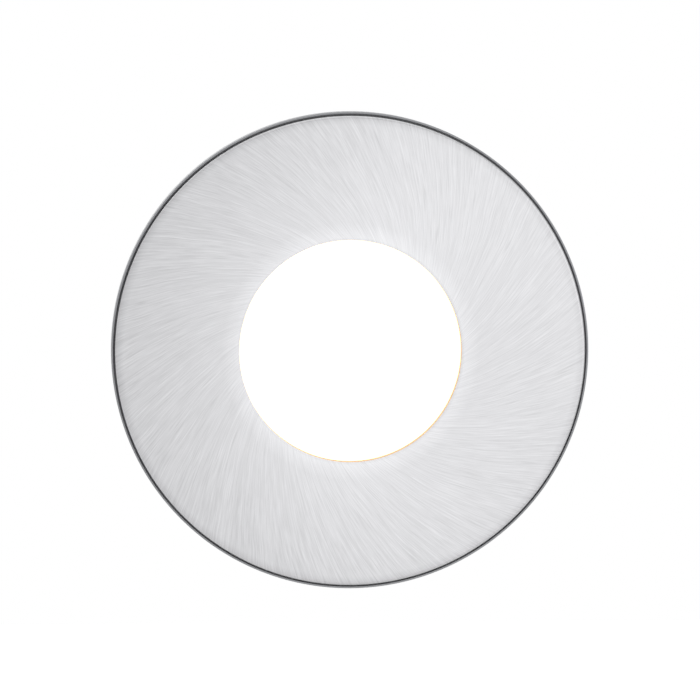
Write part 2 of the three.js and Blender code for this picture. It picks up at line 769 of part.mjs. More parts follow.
// The way of a torsion spring's wire about its pin at the origin: a hook into the bracket, the
// fixed leg, the coil, the moving leg along the arm and a hook onto the arm
function springPath() {
  const points = [];
  const add = (x, y, z) => points.push(new THREE.Vector3(x, y, z));
  const leg = THREE.MathUtils.degToRad(fixedLegDegrees);
  const legX = coilRadius * Math.cos(leg) - fixedLeg * Math.sin(leg);
  const legY = coilRadius * Math.sin(leg) + fixedLeg * Math.cos(leg);
  add(bracketFront + runningGap - pinAxis, legY, coilHalf);
  add(legX, legY, coilHalf);
  const sweep = leg - armRest + coilTurns * fullTurn;
  const steps = Math.round((stepsPerTurn * sweep) / fullTurn);
  for (let i = 0; i <= steps; i += 1) {
    const angle = leg - (sweep * i) / steps;
    add(coilRadius * Math.cos(angle), coilRadius * Math.sin(angle), coilHalf - (2 * coilHalf * i) / steps);
  }
  const turn = (x, y) => add(
    x * Math.cos(armRest) - y * Math.sin(armRest), x * Math.sin(armRest) + y * Math.cos(armRest), -coilHalf);
  for (let i = 0; i <= hookSteps; i += 1) {
    const angle = (quarterTurn * i) / hookSteps;
    turn(
      coilRadius - hookRound + hookRound * Math.cos(angle),
      hookRound - movingLeg - hookRound * Math.sin(angle),
    );
  }
  turn(clipSheet / 2 + runningGap, -movingLeg);
  return points;
}

// A round wire along a row of points, with flat ends
function wireAlong(points, radius, sides) {
  const last = points.length - 1;
  const tangents = points.map((_, i) => new THREE.Vector3()
    .subVectors(points[Math.min(i + 1, last)], points[Math.max(i - 1, 0)]).normalize());
  const normal = new THREE.Vector3(0, 0, 1).cross(tangents[0]).normalize();
  const vertices = [];
  points.forEach((point, i) => {
    normal.addScaledVector(tangents[i], -normal.dot(tangents[i])).normalize();
    const side = new THREE.Vector3().crossVectors(tangents[i], normal);
    for (let k = 0; k < sides; k += 1) {
      const angle = (fullTurn * k) / sides;
      const corner = point.clone();
      corner.addScaledVector(normal, radius * Math.cos(angle));
      corner.addScaledVector(side, radius * Math.sin(angle));
      vertices.push(...corner.toArray());
    }
  });
  const faces = [];
  for (let i = 0; i < last; i += 1) {
    for (let k = 0; k < sides; k += 1) {
      const [a, b] = [i * sides + k, i * sides + ((k + 1) % sides)];
      faces.push(a, b, b + sides, a, b + sides, a + sides);
    }
  }
  for (let k = 1; k < sides - 1; k += 1) {
    faces.push(0, k + 1, k, last * sides, last * sides + k, last * sides + k + 1);
  }
  const geometry = new THREE.BufferGeometry();
  geometry.setAttribute('position', new THREE.Float32BufferAttribute(vertices, 3));
  geometry.setIndex(faces);
  return geometry;
}

// The least gap between turns of the wire that lie more than half a turn apart along it
function leastGap(points, radius) {
  let least = Infinity;
  for (let i = 0; i < points.length; i += 1) {
    for (let k = i + stepsPerTurn / 2; k < points.length; k += 1) {
      least = Math.min(least, points[i].distanceTo(points[k]) - 2 * radius);
    }
  }
  return least;
}

function clips() {
  const path = springPath();
  console.log(`least gap of a clip spring to itself: ${leastGap(path, wireRadius).toFixed(2)} mm`);
  for (const [side, turn] of [['right', 0], ['left', 2 * quarterTurn]]) {
    const clip = new THREE.Group();
    clip.rotation.y = turn;
    light.add(clip);
    const arm = new THREE.Group();
    arm.position.set(pinAxis, pinPlace, 0);
    arm.rotation.z = armRest;
    clip.add(arm);
    piece(clip, `clip_bracket_${side}`, clipBracket(), 'zincSteel');
    piece(clip, `clip_pin_${side}`, clipPin(), 'zincSteel').position.set(pinAxis, pinPlace, 0);
    const spring = piece(
      clip, `clip_spring_${side}`, wireAlong(path, wireRadius, wireSides), 'springSteel');
    spring.position.set(pinAxis, pinPlace, 0);
    piece(arm, `clip_arm_${side}`, clipArm(), 'zincSteel');
    piece(arm, `clip_sleeve_${side}`, clipSleeve(), 'blackRubber');
    bracketScrewPlaces.forEach((y, i) => {
      const fastener = piece(
        clip, `bracket_screw_${side}_${i + 1}`, smallScrew(smallScrewLength), 'zincSteel');
      fastener.position.set(bracketFront + seatGap, y, 0);
      fastener.rotation.z = quarterTurn;
    });
  }
}

function standoff() {
  const body = disc(standoffRadius, heatSinkEnd, boxFloor, hexSides);
  const stud = disc(screwShaft, heatSinkEnd - standoffStud, heatSinkEnd + bond, screwSides);
  const bore = disc(screwShaft + holeClearance, boxFloor - standoffStud - overrun, boxFloor + overrun,
    screwSides);
  return cut(join(body, stud), bore);
}

const pcbPostPlaces = [1, -1].flatMap((side) => [
  { x: side * (pcbHalf - pcbPostInset), z: pcbNear + pcbPostInset },
  { x: side * (pcbHalf - pcbPostInset), z: pcbFar - pcbPostInset },
]);
const pcbScrewPlaces = [pcbPostPlaces[1], pcbPostPlaces[2]];

// One half of the hinge: a knuckle on a web
function knuckle(low, high, web) {
  return [
    barAlongX(hingeKnuckle, low, high, hingeY, hingeZ, smallSides),
    block([low, high], web, [boxHalfZ - bond, hingeZ]),
  ];
}

function hingeBore() {
  return barAlongX(
    hingePinRadius + holeClearance, -hingeHalf - overrun, hingeHalf + overrun, hingeY, hingeZ, smallSides);
}

function driverBox() {
  const outside = slab(roundedRectangle(boxHalfX, boxHalfZ, boxRound), boxFloor, boxEnd);
  const inside = slab(
    roundedRectangle(innerHalfX, innerHalfZ, boxRound - boxWall), boxInside, boxEnd + overrun);
  const posts = pcbPostPlaces.map(({ x, z }) => (
    discAt(x, z, pcbPostRadius, boxInside - bond, pcbLow, screwSides)));
  const postHoles = pcbScrewPlaces.map(({ x, z }) => (
    discAt(x, z, smallShaft + holeClearance, boxInside, pcbLow + overrun, screwSides)));
  const webs = [hingeY - knuckleWeb, hingeY];
  const knuckles = [
    ...knuckle(-hingeHalf, boxKnuckleLength - hingeHalf, webs),
    ...knuckle(hingeHalf - boxKnuckleLength, hingeHalf, webs),
  ];
  const catchTop = boxEnd - catchDrop;
  const latch = block(
    [tonguePlace - tongueHalf, tonguePlace + tongueHalf],
    [catchTop - catchHeight, catchTop],
    [-boxHalfZ - catchDepth, bond - boxHalfZ],
  );
  const floorHoles = standoffPlaces.map(({ x, z }) => (
    discAt(x, z, screwShaft + holeClearance, boxFloor - overrun, boxInside + overrun, screwSides)));
  const grommetHole = discAt(
    -leadPlace, 0, grommetRadius + holeClearance, boxFloor - overrun, boxInside + overrun, smallSides);
  const glandHole = barAlongZ(
    glandThread + holeClearance, innerHalfZ - overrun, boxHalfZ + overrun, glandPlace, glandY, smallSides);
  return cut(
    join(cut(outside, inside), ...posts, ...knuckles, latch),
    ...postHoles,
    ...floorHoles,
    grommetHole,
    glandHole.translate(0, 0, -boxHalfZ - innerHalfZ),
    hingeBore(),
  );
}

function boxLid() {
  const plate = slab(roundedRectangle(boxHalfX, boxHalfZ, boxRound), lidLow, lidHigh);
  const half = hingeHalf - boxKnuckleLength - runningGap;
  const across = [tonguePlace - tongueHalf, tonguePlace + tongueHalf];
  const inner = -boxHalfZ - catchDepth - runningGap;
  const nibTop = boxEnd - catchDrop - catchHeight - runningGap;
  const shelf = block(across, [lidLow, lidHigh], [inner - tongueSheet, boxRound - boxHalfZ]);
  const tongue = block(across, [nibTop - nibHeight, lidHigh], [inner - tongueSheet, inner]);
  const nib = block(across, [nibTop - nibHeight, nibTop], [inner - bond, inner + tongueNib]);
  return cut(join(plate, ...knuckle(-half, half, [lidLow, lidHigh]), shelf, tongue, nib), hingeBore());
}

function hingePinBar() {
  return barAlongX(hingePinRadius, -hingeHalf, hingeHalf, hingeY, hingeZ, smallSides);
}

function driverBoard() {
  const board = block([-pcbHalf, pcbHalf], [pcbLow, pcbHigh], [pcbNear, pcbFar]);
  const holes = pcbScrewPlaces.map(({ x, z }) => (
    discAt(x, z, smallShaft + holeClearance, pcbLow - overrun, pcbHigh + overrun, screwSides)));
  return cut(board, ...holes);
}

// The transformer fills the room between the board's screw, the terminals and the capacitor
const transformerLeft = pcbPostInset - pcbHalf + smallHead + transformerScrewRoom;
const transformerRight = glandPlace - terminalHalf - transformerTerminalRoom;
const capacitorPlace = {
  x: (transformerLeft + transformerRight) / 2,
  z: pcbFar - capacitorInset - capacitorRadius,
};
const transformerNear = pcbNear + transformerInset;
const transformerFar = capacitorPlace.z - capacitorRadius - transformerCapacitorRoom;

// A ferrite core with its bobbin showing on both sides
function transformer() {
  const top = pcbHigh + transformerHeight;
  const core = block(
    [transformerLeft, transformerRight],
    [pcbHigh, top],
    [transformerNear + bobbinInset, transformerFar - bobbinInset],
  );
  const bobbin = block(
    [transformerLeft + bobbinInset, transformerRight - bobbinInset],
    [pcbHigh, top - bobbinHeight],
    [transformerNear, transformerFar],
  );
  return join(core, bobbin);
}

function capacitor() {
  const half = capacitorLength / 2;
  return turned([
    [0, -half],
    [capacitorRadius - capacitorRound, -half],
    [capacitorRadius, capacitorRound - half],
    [capacitorRadius, half - capacitorRound],
    [capacitorRadius - capacitorRound, half],
    [0, half],
  ], smallSides).rotateZ(quarterTurn);
}

const poles = Array.from({ length: poleCount }, (_, i) => (
  glandPlace + polePitch * (i - (poleCount - 1) / 2)));
const wellPlace = terminalFront + wellInset;
const wellFloor = pcbHigh + terminalHeight - wellDepth;

function terminalBlock() {
  const body = block(
    [glandPlace - terminalHalf, glandPlace + terminalHalf],
    [pcbHigh, pcbHigh + terminalHeight],
    [terminalFront, terminalFront + terminalLength],
  );
  const wells = poles.map((x) => discAt(
    x, wellPlace, wellRadius, wellFloor, pcbHigh + terminalHeight + overrun, smallSides));
  const wireHoles = poles.map((x) => barAlongZ(
    wireHoleRadius, -overrun, wireHoleDepth, x, pcbHigh + wireHoleHeight, screwSides,
  ).translate(0, 0, terminalFront - wireHoleDepth + overrun));
  return cut(body, ...wells, ...wireHoles);
}

function terminalScrew() {
  const body = disc(terminalScrewRadius, wellFloor, wellFloor + terminalScrewHeight, screwSides);
  const top = wellFloor + terminalScrewHeight;
  return cut(body, ...crossCutter(terminalScrewRadius * headDomeShare, top - crossDepth, top + overrun));
}

// The lead comes straight down from the driver, through the heat sink, and turns back onto the
// front of the LED's board, where it ends straight for one diameter
function ledLead() {
  const end = ledBoardFront - runningGap;
  const turnPlace = end - 2 * leadRadius;
  const endPlace = 2 * leadBend - leadPlace;
  const bulge = turnPlace - leadBend * halfCircleShare;
  const at = (x, y) => new THREE.Vector3(x, y, 0);
  const path = new THREE.CurvePath();
  path.add(new THREE.LineCurve3(at(-leadPlace, pcbLow - runningGap), at(-leadPlace, turnPlace)));
  path.add(new THREE.CubicBezierCurve3(
    at(-leadPlace, turnPlace), at(-leadPlace, bulge), at(endPlace, bulge), at(endPlace, turnPlace)));
  path.add(new THREE.LineCurve3(at(endPlace, turnPlace), at(endPlace, end)));
  const section = new THREE.Shape().absarc(0, 0, leadRadius, 0, fullTurn);
  return new THREE.ExtrudeGeometry(section, {
    steps: leadSteps, curveSegments: leadSides / 2, bevelEnabled: false, extrudePath: path,
  });
}

function grommet() {
  const low = boxFloor - seatGap;
  const high = boxInside + seatGap;
  const bore = leadRadius + holeClearance;
  return ring([
    [bore, low - grommetLipHeight],
    [grommetLipRadius - grommetLipHeight, low - grommetLipHeight],
    [grommetLipRadius, low],
    [grommetRadius, low],
    [grommetRadius, high],
    [grommetLipRadius, high],
    [grommetLipRadius - grommetLipHeight, high + grommetLipHeight],
    [bore, high + grommetLipHeight],
  ], smallSides);
}

function driver() {
  standoffPlaces.forEach(({ x, z }, i) => {
    piece(light, `standoff_${i + 1}`, standoff(), 'zincSteel').position.set(x, 0, z);
    const fastener = piece(
      light, `standoff_screw_${i + 1}`, largeScrew(boxWall + standoffStud), 'zincSteel');
    fastener.position.set(x, boxInside + seatGap, z);
    fastener.rotation.x = 2 * quarterTurn;
  });
  piece(light, 'driver_box', driverBox(), 'greyPlastic');
  piece(light, 'box_lid', boxLid(), 'greyPlastic');
  piece(light, 'lid_pin', hingePinBar(), 'zincSteel');
  piece(light, 'driver_board', driverBoard(), 'greenBoard');
  pcbScrewPlaces.forEach(({ x, z }, i) => {
    const length = pcbThickness + pcbLift - bond;
    const fastener = piece(light, `board_screw_${i + 1}`, smallScrew(length), 'zincSteel');
    fastener.position.set(x, pcbHigh + seatGap, z);
    fastener.rotation.x = 2 * quarterTurn;
  });
  piece(light, 'driver_transformer', transformer(), 'ferrite');
  const { x, z } = capacitorPlace;
  const can = piece(light, 'driver_capacitor', capacitor(), 'capacitorSleeve');
  can.position.set(x, pcbHigh + capacitorRadius + seatGap, z);
  piece(light, 'terminal_block', terminalBlock(), 'whitePlastic');
  poles.forEach((place, i) => {
    piece(light, `terminal_screw_${i + 1}`, terminalScrew(), 'zincSteel').position.set(place, 0, wellPlace);
  });
  piece(light, 'led_lead', ledLead(), 'whitePlastic');
  piece(light, 'lead_grommet', grommet(), 'blackRubber').position.set(-leadPlace, 0, 0);
}

// The pieces of the gland point out of the box's wall along their own +Y, from the wall's outside
function cableGland() {
  const hexEnd = seatGap + glandHexThickness;
  const inside = -boxWall - glandInside;
  const tube = washer(glandBore, glandThread, inside, hexEnd + glandTail, smallSides);
  const hex = washer(glandBore, glandHex, seatGap, hexEnd, hexSides);
  const bore = disc(glandBore, inside - overrun, hexEnd + glandTail + overrun, smallSides);
  return cut(join(tube, hex), bore);
}

function glandNut() {
  const start = -boxWall - seatGap;
  const body = disc(glandHex, start - nutThickness, start, hexSides);
  const bore = disc(glandThread + holeClearance, start - nutThickness - overrun, start + overrun, smallSides);
  return cut(body, bore);
}

const capStart = seatGap + glandHexThickness + runningGap;
const sealStart = seatGap + glandHexThickness + glandTail + seatGap;
const sealEnd = sealStart + sealThickness;

function glandCap() {
  const inner = glandThread + runningGap;
  const end = sealEnd + seatGap;
  return ring([
    [inner, capStart],
    [inner + capWall, capStart],
    [inner + capWall, end + capEnd - capChamfer],
    [inner + capWall - capChamfer, end + capEnd],
    [glandBore, end + capEnd],
    [glandBore, end],
    [inner, end],
  ], smallSides);
}

function gland() {
  const group = new THREE.Group();
  group.position.set(glandPlace, glandY, -boxHalfZ);
  group.rotation.x = -quarterTurn;
  light.add(group);
  const seal = washer(sealBore, glandThread, sealStart, sealEnd, smallSides);
  piece(group, 'cable_gland', cableGland(), 'greyPlastic');
  piece(group, 'gland_nut', glandNut(), 'greyPlastic');
  piece(group, 'gland_cap', glandCap(), 'greyPlastic');
  piece(group, 'gland_seal', seal, 'blackRubber');
}

function heatSinkAndClips() {
  piece(light, 'heat_sink', heatSink(), 'castAluminium');
  clips();
}

trim();
opticsAndLed();
heatSinkAndClips();
driver();
gland();

export default light;
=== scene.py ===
# %% [markdown]
# # Dressing a recessed light
# The CAD model already holds every piece of this light at its true size: a brushed steel ring
# round a lit lens, the flange that it sits in, and behind the panel a heat sink, two sprung
# clips and a wiring box. This lesson gives these pieces their final surfaces and finishes.
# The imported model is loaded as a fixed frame, so a new piece only has to be drawn where the CAD
# says, in the same axes: the light shines towards -Y, +Z is up.

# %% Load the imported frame
import math

import bmesh
import bpy
import numpy as np
from mathutils import Matrix, Vector


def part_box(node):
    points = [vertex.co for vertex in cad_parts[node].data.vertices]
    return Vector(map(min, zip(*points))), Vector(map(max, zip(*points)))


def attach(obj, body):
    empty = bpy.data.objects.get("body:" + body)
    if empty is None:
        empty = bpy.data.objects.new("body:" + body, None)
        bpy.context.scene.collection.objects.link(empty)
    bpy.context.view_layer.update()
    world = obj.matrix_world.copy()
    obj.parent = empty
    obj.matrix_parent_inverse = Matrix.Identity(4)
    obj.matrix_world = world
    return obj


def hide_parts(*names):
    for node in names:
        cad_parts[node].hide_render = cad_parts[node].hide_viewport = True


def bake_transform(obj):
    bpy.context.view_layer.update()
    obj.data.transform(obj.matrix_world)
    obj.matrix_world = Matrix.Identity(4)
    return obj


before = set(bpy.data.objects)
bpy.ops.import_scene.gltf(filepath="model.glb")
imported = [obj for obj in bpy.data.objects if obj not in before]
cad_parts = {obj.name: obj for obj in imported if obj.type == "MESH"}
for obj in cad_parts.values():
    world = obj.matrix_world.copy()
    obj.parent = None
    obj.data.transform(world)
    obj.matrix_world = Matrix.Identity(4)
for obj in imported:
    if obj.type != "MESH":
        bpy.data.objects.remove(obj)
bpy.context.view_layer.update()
MM = 0.001

# %% [markdown]
# ## Surfaces from arrays
# A lathe, a tube and a rounded box are each a function of two parameters, so a whole surface is
# one numpy array of points with rows and columns. That is quicker than building meshes point by
# point, and the formula stays readable. A shape here is a pair: points in millimetres, and faces
# that number them. Shapes can then be moved, turned and put together before Blender sees them.


# %% A grid of points as a shape
def grid(points, closed_rows=False):
    """Quads between the rows and columns of a (rows, columns, 3) array. The last column joins
    the first, and so does the last row where the rows are closed."""
    rows, columns = points.shape[:2]
    number = np.arange(rows * columns).reshape(rows, columns)
    if closed_rows:
        number = np.vstack([number, number[:1]])
    number = np.hstack([number, number[:, :1]])
    corners = [number[:-1, :-1], number[1:, :-1], number[1:, 1:], number[:-1, 1:]]
    return points.reshape(-1, 3), np.stack(corners, -1).reshape(-1, 4).tolist()


def together(*shapes):
    """Several shapes as one: the faces of each are renumbered by the points before it."""
    points, faces = [], []
    for more_points, more_faces in shapes:
        start = sum(len(block) for block in points)
        points.append(more_points)
        faces += [[start + corner for corner in face] for face in more_faces]
    return np.vstack(points), faces


def placed(shape, at=(0, 0, 0), turns=()):
    """Turns a shape about the axes, one after another in degrees, and then moves it."""
    points, faces = shape
    for axis, degrees in turns:
        points = points @ np.array(Matrix.Rotation(math.radians(degrees), 3, axis)).T
    return points + np.array(at, float), faces


# %% [markdown]
# Nearly every edge of a real piece is a little round, and that is what catches the light. So an
# outline is eased before it is turned or stretched into a surface.


# %% Outlines with eased corners
def eased(outline, ease, steps=4, closed=True):
    """Replaces each corner C by the curve (1-t)^2 A + 2t(1-t) C + t^2 B, where A and B lie on its
    two sides, at most `ease` away and never past their middles."""
    outline = np.array(outline, float)
    before, after = np.roll(outline, 1, 0) - outline, np.roll(outline, -1, 0) - outline
    reach = np.broadcast_to(np.array(ease, float), len(outline))[:, None]

    def toward(side):
        length = np.maximum(np.linalg.norm(side, axis=1, keepdims=True), 1e-9)
        return outline + side / length * np.minimum(reach, length * 0.49)

    t = np.linspace(0, 1, steps + 1)[None, :, None]
    start, end = toward(before)[:, None], toward(after)[:, None]
    curves = (1 - t) ** 2 * start + 2 * t * (1 - t) * outline[:, None] + t ** 2 * end
    line = curves.reshape(-1, 2)
    if not closed:
        line = np.vstack([outline[:1], curves[1:-1].reshape(-1, 2), outline[-1:]])
    step = np.linalg.norm(np.diff(line, axis=0, append=line[:1]), axis=1)
    return line[(step > 1e-6) | (np.arange(len(line)) == len(line) - 1) & (not closed)]


def around(reach, y, angle):
    """The points (r cos a, y, r sin a)."""
    return np.stack([reach * np.cos(angle), y + 0 * angle, reach * np.sin(angle)], -1)


def turned(outline, sides=96, closed=True):
    """A lathe about Y: the point (r, y) of the outline goes to (r cos a, y, r sin a)."""
    outline = np.array(outline, float)
    angle = np.linspace(0, 2 * np.pi, sides, endpoint=False)
    return grid(around(outline[:, :1], outline[:, 1:], angle), closed_rows=closed)


def tube(path, radius, sides=12):
    """A round tube: a circle of points (n cos a + b sin a) carried along the path, where n is
    square to the path and to Z, and b to both. Its ends are closed to points."""
    path = np.array(path, float)
    along = np.gradient(path, axis=0)
    along /= np.linalg.norm(along, axis=1, keepdims=True)
    across = np.cross(along, [0, 0, 1])
    across /= np.linalg.norm(across, axis=1, keepdims=True)
    other = np.cross(along, across)
    angle = np.linspace(0, 2 * np.pi, sides, endpoint=False)[None, :, None]
    ring = across[:, None] * np.cos(angle) + other[:, None] * np.sin(angle)
    swell = np.r_[0, np.full(len(path), radius), 0][:, None, None]
    ring = np.concatenate([ring[:1], ring, ring[-1:]]) * swell
    centre = np.vstack([path[:1], path, path[-1:]])
    return grid(centre[:, None] + ring)


def rounded_box(half_x, half_z, corner, levels, steps=6):
    """A box standing along Y. Each level (inset, y) is a rectangle with round corners, drawn in
    by the inset; the first and the last are closed to their middles."""
    turn = np.linspace(0, np.pi / 2, steps + 1)
    angle = (turn[None] + np.arange(4)[:, None] * np.pi / 2).ravel()
    side_x = np.repeat([1, -1, -1, 1], steps + 1)
    side_z = np.repeat([1, 1, -1, -1], steps + 1)
    rows = []
    for inset, y in levels:
        round_part = max(corner - inset, 0.02)
        x = side_x * (half_x - inset - round_part) + round_part * np.cos(angle)
        z = side_z * (half_z - inset - round_part) + round_part * np.sin(angle)
        rows.append(np.stack([x, 0 * x + y, z], -1))
    rows = np.array([rows[0], *rows, rows[-1]])
    rows[[0, -1]] *= [0, 1, 0]
    return grid(rows)


# %% [markdown]
# ## From a shape to a piece
# Blender gets the finished arrays in one call. Poles and closed seams leave points on top of
# each other, so these are merged, and then the normals are turned outwards. Holes and crosses
# are easiest as Boolean cuts on a closed shape. Each piece is named, rides on the CAD body that
# carries it, and hides the CAD nodes that it stands for.


# %% Meshes, cuts and pieces
def to_mesh(name, shape, crease=35):
    """A closed mesh in metres, with edges sharper than `crease` degrees kept sharp."""
    points, faces = shape
    mesh = bpy.data.meshes.new(name)
    mesh.from_pydata((points * MM).tolist(), [], faces)
    work = bmesh.new()
    work.from_mesh(mesh)
    bmesh.ops.remove_doubles(work, verts=work.verts, dist=1e-4 * MM)
    bmesh.ops.dissolve_degenerate(work, edges=work.edges, dist=1e-4 * MM)
    bmesh.ops.recalc_face_normals(work, faces=work.faces)
    work.to_mesh(mesh)
    work.free()
    mesh.shade_smooth()
    mesh.set_sharp_from_angle(angle=math.radians(crease))
    return mesh


def read_all(items, key, width, kind=float):
    """One property of every item of a mesh, as rows of `width` numbers."""
    found = np.zeros(len(items) * width, kind)
    items.foreach_get(key, found)
    return found.reshape(-1, width)


def carved(shape, *cutters, operation="DIFFERENCE"):
    """The shape after Blender's exact Boolean with each of the cutters in turn."""
    body = bpy.data.objects.new("work", to_mesh("work", shape))
    tools = [bpy.data.objects.new("tool", to_mesh("tool", cutter)) for cutter in cutters]
    for item in (body, *tools):
        bpy.context.scene.collection.objects.link(item)
    for tool in tools:
        step = body.modifiers.new("cut", "BOOLEAN")
        step.operation, step.solver, step.object = operation, "EXACT", tool
    graph = bpy.context.evaluated_depsgraph_get()
    mesh = bpy.data.meshes.new_from_object(body.evaluated_get(graph))
    points = read_all(mesh.vertices, "co", 3) / MM
    faces = [list(face.vertices) for face in mesh.polygons]
    for item in (body, *tools):
        bpy.data.objects.remove(item)
    return points, faces


def add_piece(name, shape, material, *nodes, body="housing", crease=35):
    """Makes a piece with one material that rides on a body, and hides the CAD nodes it stands for."""
    mesh = to_mesh(name, shape, crease)
    mesh.materials.append(material)
    piece = bpy.data.objects.new(name, mesh)
    bpy.context.scene.collection.objects.link(piece)
    if nodes:
        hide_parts(*nodes)
    if body:
        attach(piece, body)
    print(f"{name}: {len(mesh.polygons)} faces")
    return piece


# %% [markdown]
# ## Materials from nodes
# Every finish starts from what the real surface is made of. One function adds a node with its
# settings and links, so a whole node tree reads as a short list. Colours are written in sRGB
# hex, as in a paint program, and turned to the linear values that the shader wants.


# %% Colours and nodes
BLACK, WHITE = (0, 0, 0, 1), (1, 1, 1, 1)


def linear(code):
    """An sRGB hex colour as linear light: ((c + 0.055) / 1.055) ** 2.4, or c / 12.92 near 0."""
    c = np.array([int(code[i:i + 2], 16) for i in (1, 3, 5)]) / 255
    light = np.where(c <= 0.04045, c / 12.92, ((c + 0.055) / 1.055) ** 2.4)
    return (*light.tolist(), 1.0)


def add(tree, kind, sockets=None, **settings):
    """Adds a shader node. Settings are its properties; sockets gives inputs by name or number,
    each a value or another node's output."""
    node = tree.nodes.new("ShaderNode" + kind)
    for key, value in settings.items():
        setattr(node, key, value)
    for key, value in (sockets or {}).items():
        if isinstance(value, bpy.types.NodeSocket):
            tree.links.new(value, node.inputs[key])
        else:
            node.inputs[key].default_value = value
    return node


def new_finish(name, slot=None, **sockets):
    """A material with one Principled shader, whose even values are set on its own sockets. The
    slot is not used."""
    material = bpy.data.materials.new(name)
    material.use_nodes = True
    tree = material.node_tree
    tree.nodes.clear()
    even = {key.replace("_", " ").title().replace("Ior", "IOR"): value
            for key, value in sockets.items()}
    shader = add(tree, "BsdfPrincipled", even)
    add(tree, "OutputMaterial", {"Surface": shader.outputs[0]})
    print(f"finish: {name}")
    return material, tree, shader


def front_view(tree):
    """Object coordinates, their three numbers, and X and Z as a flat place seen from ahead."""
    place = add(tree, "TexCoord").outputs["Object"]
    axes = add(tree, "SeparateXYZ", {0: place}).outputs
    return place, axes, add(tree, "CombineXYZ", {"X": axes["X"], "Y": axes["Z"]}).outputs[0]


# %% [markdown]
# Most moulded, cast and plated surfaces differ in the same three ways: how large their grain is,
# how much its colour and roughness vary, and how far it stands up. So one pattern serves them,
# with the grain given in millimetres: soft cells for the colour, and finer ones for the bump.


# %% Grain for moulded, cast and plated surfaces
def grain(tree, shader, cell, dark, light, relief=0.0, rough=(0.5, 0.5), stretch=(1, 1, 1)):
    """Noise in Object coordinates with cells of `cell` mm blends two colours and two
    roughnesses; its finer part lifts the surface by up to `relief` mm. Returns the colour."""
    place = add(tree, "TexCoord").outputs["Object"]
    place = add(tree, "Mapping", {"Vector": place, "Scale": stretch}).outputs[0]
    noise = add(tree, "TexNoise", {"Vector": place, "Scale": 1 / (cell * MM), "Detail": 3.0,
                                   "Roughness": 0.6}).outputs["Fac"]
    spread = add(tree, "MapRange", {0: noise, 1: 0.3, 2: 0.7}).outputs[0]
    tint = add(tree, "Mix", {0: spread, 6: linear(dark), 7: linear(light)}, data_type="RGBA")
    rub = add(tree, "MapRange", {0: spread, 3: rough[0], 4: rough[1]}).outputs[0]
    tree.links.new(tint.outputs[2], shader.inputs["Base Color"])
    tree.links.new(rub, shader.inputs["Roughness"])
    if relief:
        bump = add(tree, "Bump", {"Height": noise, "Distance": relief * MM, "Strength": 1.0})
        tree.links.new(bump.outputs[0], shader.inputs["Normal"])
    return tint.outputs[2]


def grained(name, slot, cell, dark, light, relief, rough, stretch=(1, 1, 1), **sockets):
    """A finish with nothing but its grain."""
    material, tree, shader = new_finish(name, slot, **sockets)
    grain(tree, shader, cell, dark, light, relief, rough, stretch)
    return material


# %% [markdown]
# ## The brushed ring
# The ring is stainless steel sheet. Its face was brushed with a turning pad, which leaves fine
# strokes that lean about 30 degrees from the radius and curve a little: a spiral. A texture
# can't be wrapped round a disc without a seam, so the pattern is worked out from the place
# itself. For a point at radius r and angle a, the angle less the spiral's own turn f(r) is the
# same all along a stroke. Noise that is fine across that value and long along r gives strokes.
# Brushed metal also reflects a lamp as a streak across its strokes, which the shader's
# anisotropy does once a UV map tells it how they run.

# %% Brushed stainless steel
STROKE_TURN = 0.913      # f(r) = STROKE_TURN * ln(r) - STROKE_EASE * r, with r in mm: the strokes
STROKE_EASE = 0.0095     # lean 36 degrees at the aperture and 27 degrees at the rim
brushed, tree, shader = new_finish(
    "brushed_stainless_steel", "brushed_bezel",
    metallic=1.0, anisotropic=0.35, anisotropic_rotation=0.25)
place, axes, flat = front_view(tree)
length = add(tree, "VectorMath", {0: flat}, operation="LENGTH").outputs["Value"]
radius = add(tree, "Math", {0: length, 1: 1 / MM}, operation="MULTIPLY").outputs[0]
angle = add(tree, "Math", {0: axes["Z"], 1: axes["X"]}, operation="ARCTAN2").outputs[0]
natural_log = add(tree, "Math", {0: radius, 1: math.e}, operation="LOGARITHM").outputs[0]
sway = add(tree, "TexNoise", {"Vector": place, "Scale": 90.0, "Detail": 1.0}).outputs["Fac"]
turn = angle
for value, factor in ((natural_log, -STROKE_TURN), (radius, STROKE_EASE), (sway, 0.03)):
    turn = add(tree, "Math", {0: value, 1: factor, 2: turn}, operation="MULTIPLY_ADD").outputs[0]


def strokes(count, reach, detail):
    """Noise on a circle of `count` cells round the ring and cells `reach` mm along the stroke."""
    circle = count / (2 * math.pi)
    parts = {}
    for axis, wave in (("X", "COSINE"), ("Y", "SINE")):
        part = add(tree, "Math", {0: turn}, operation=wave).outputs[0]
        parts[axis] = add(tree, "Math", {0: part, 1: circle}, operation="MULTIPLY").outputs[0]
    parts["Z"] = add(tree, "Math", {0: radius, 1: 1 / reach}, operation="MULTIPLY").outputs[0]
    vector = add(tree, "CombineXYZ", parts).outputs[0]
    return add(tree, "TexNoise", {"Vector": vector, "Scale": 1.0, "Detail": detail,
                                  "Roughness": 0.62}).outputs["Fac"]


fine = strokes(1250, 4.0, 3.0)           # 0.16 mm apart halfway out, about a pixel
long = strokes(820, 22.0, 2.0)
broad = strokes(150, 40.0, 1.0)
scratch = strokes(420, 4.0, 0.0)

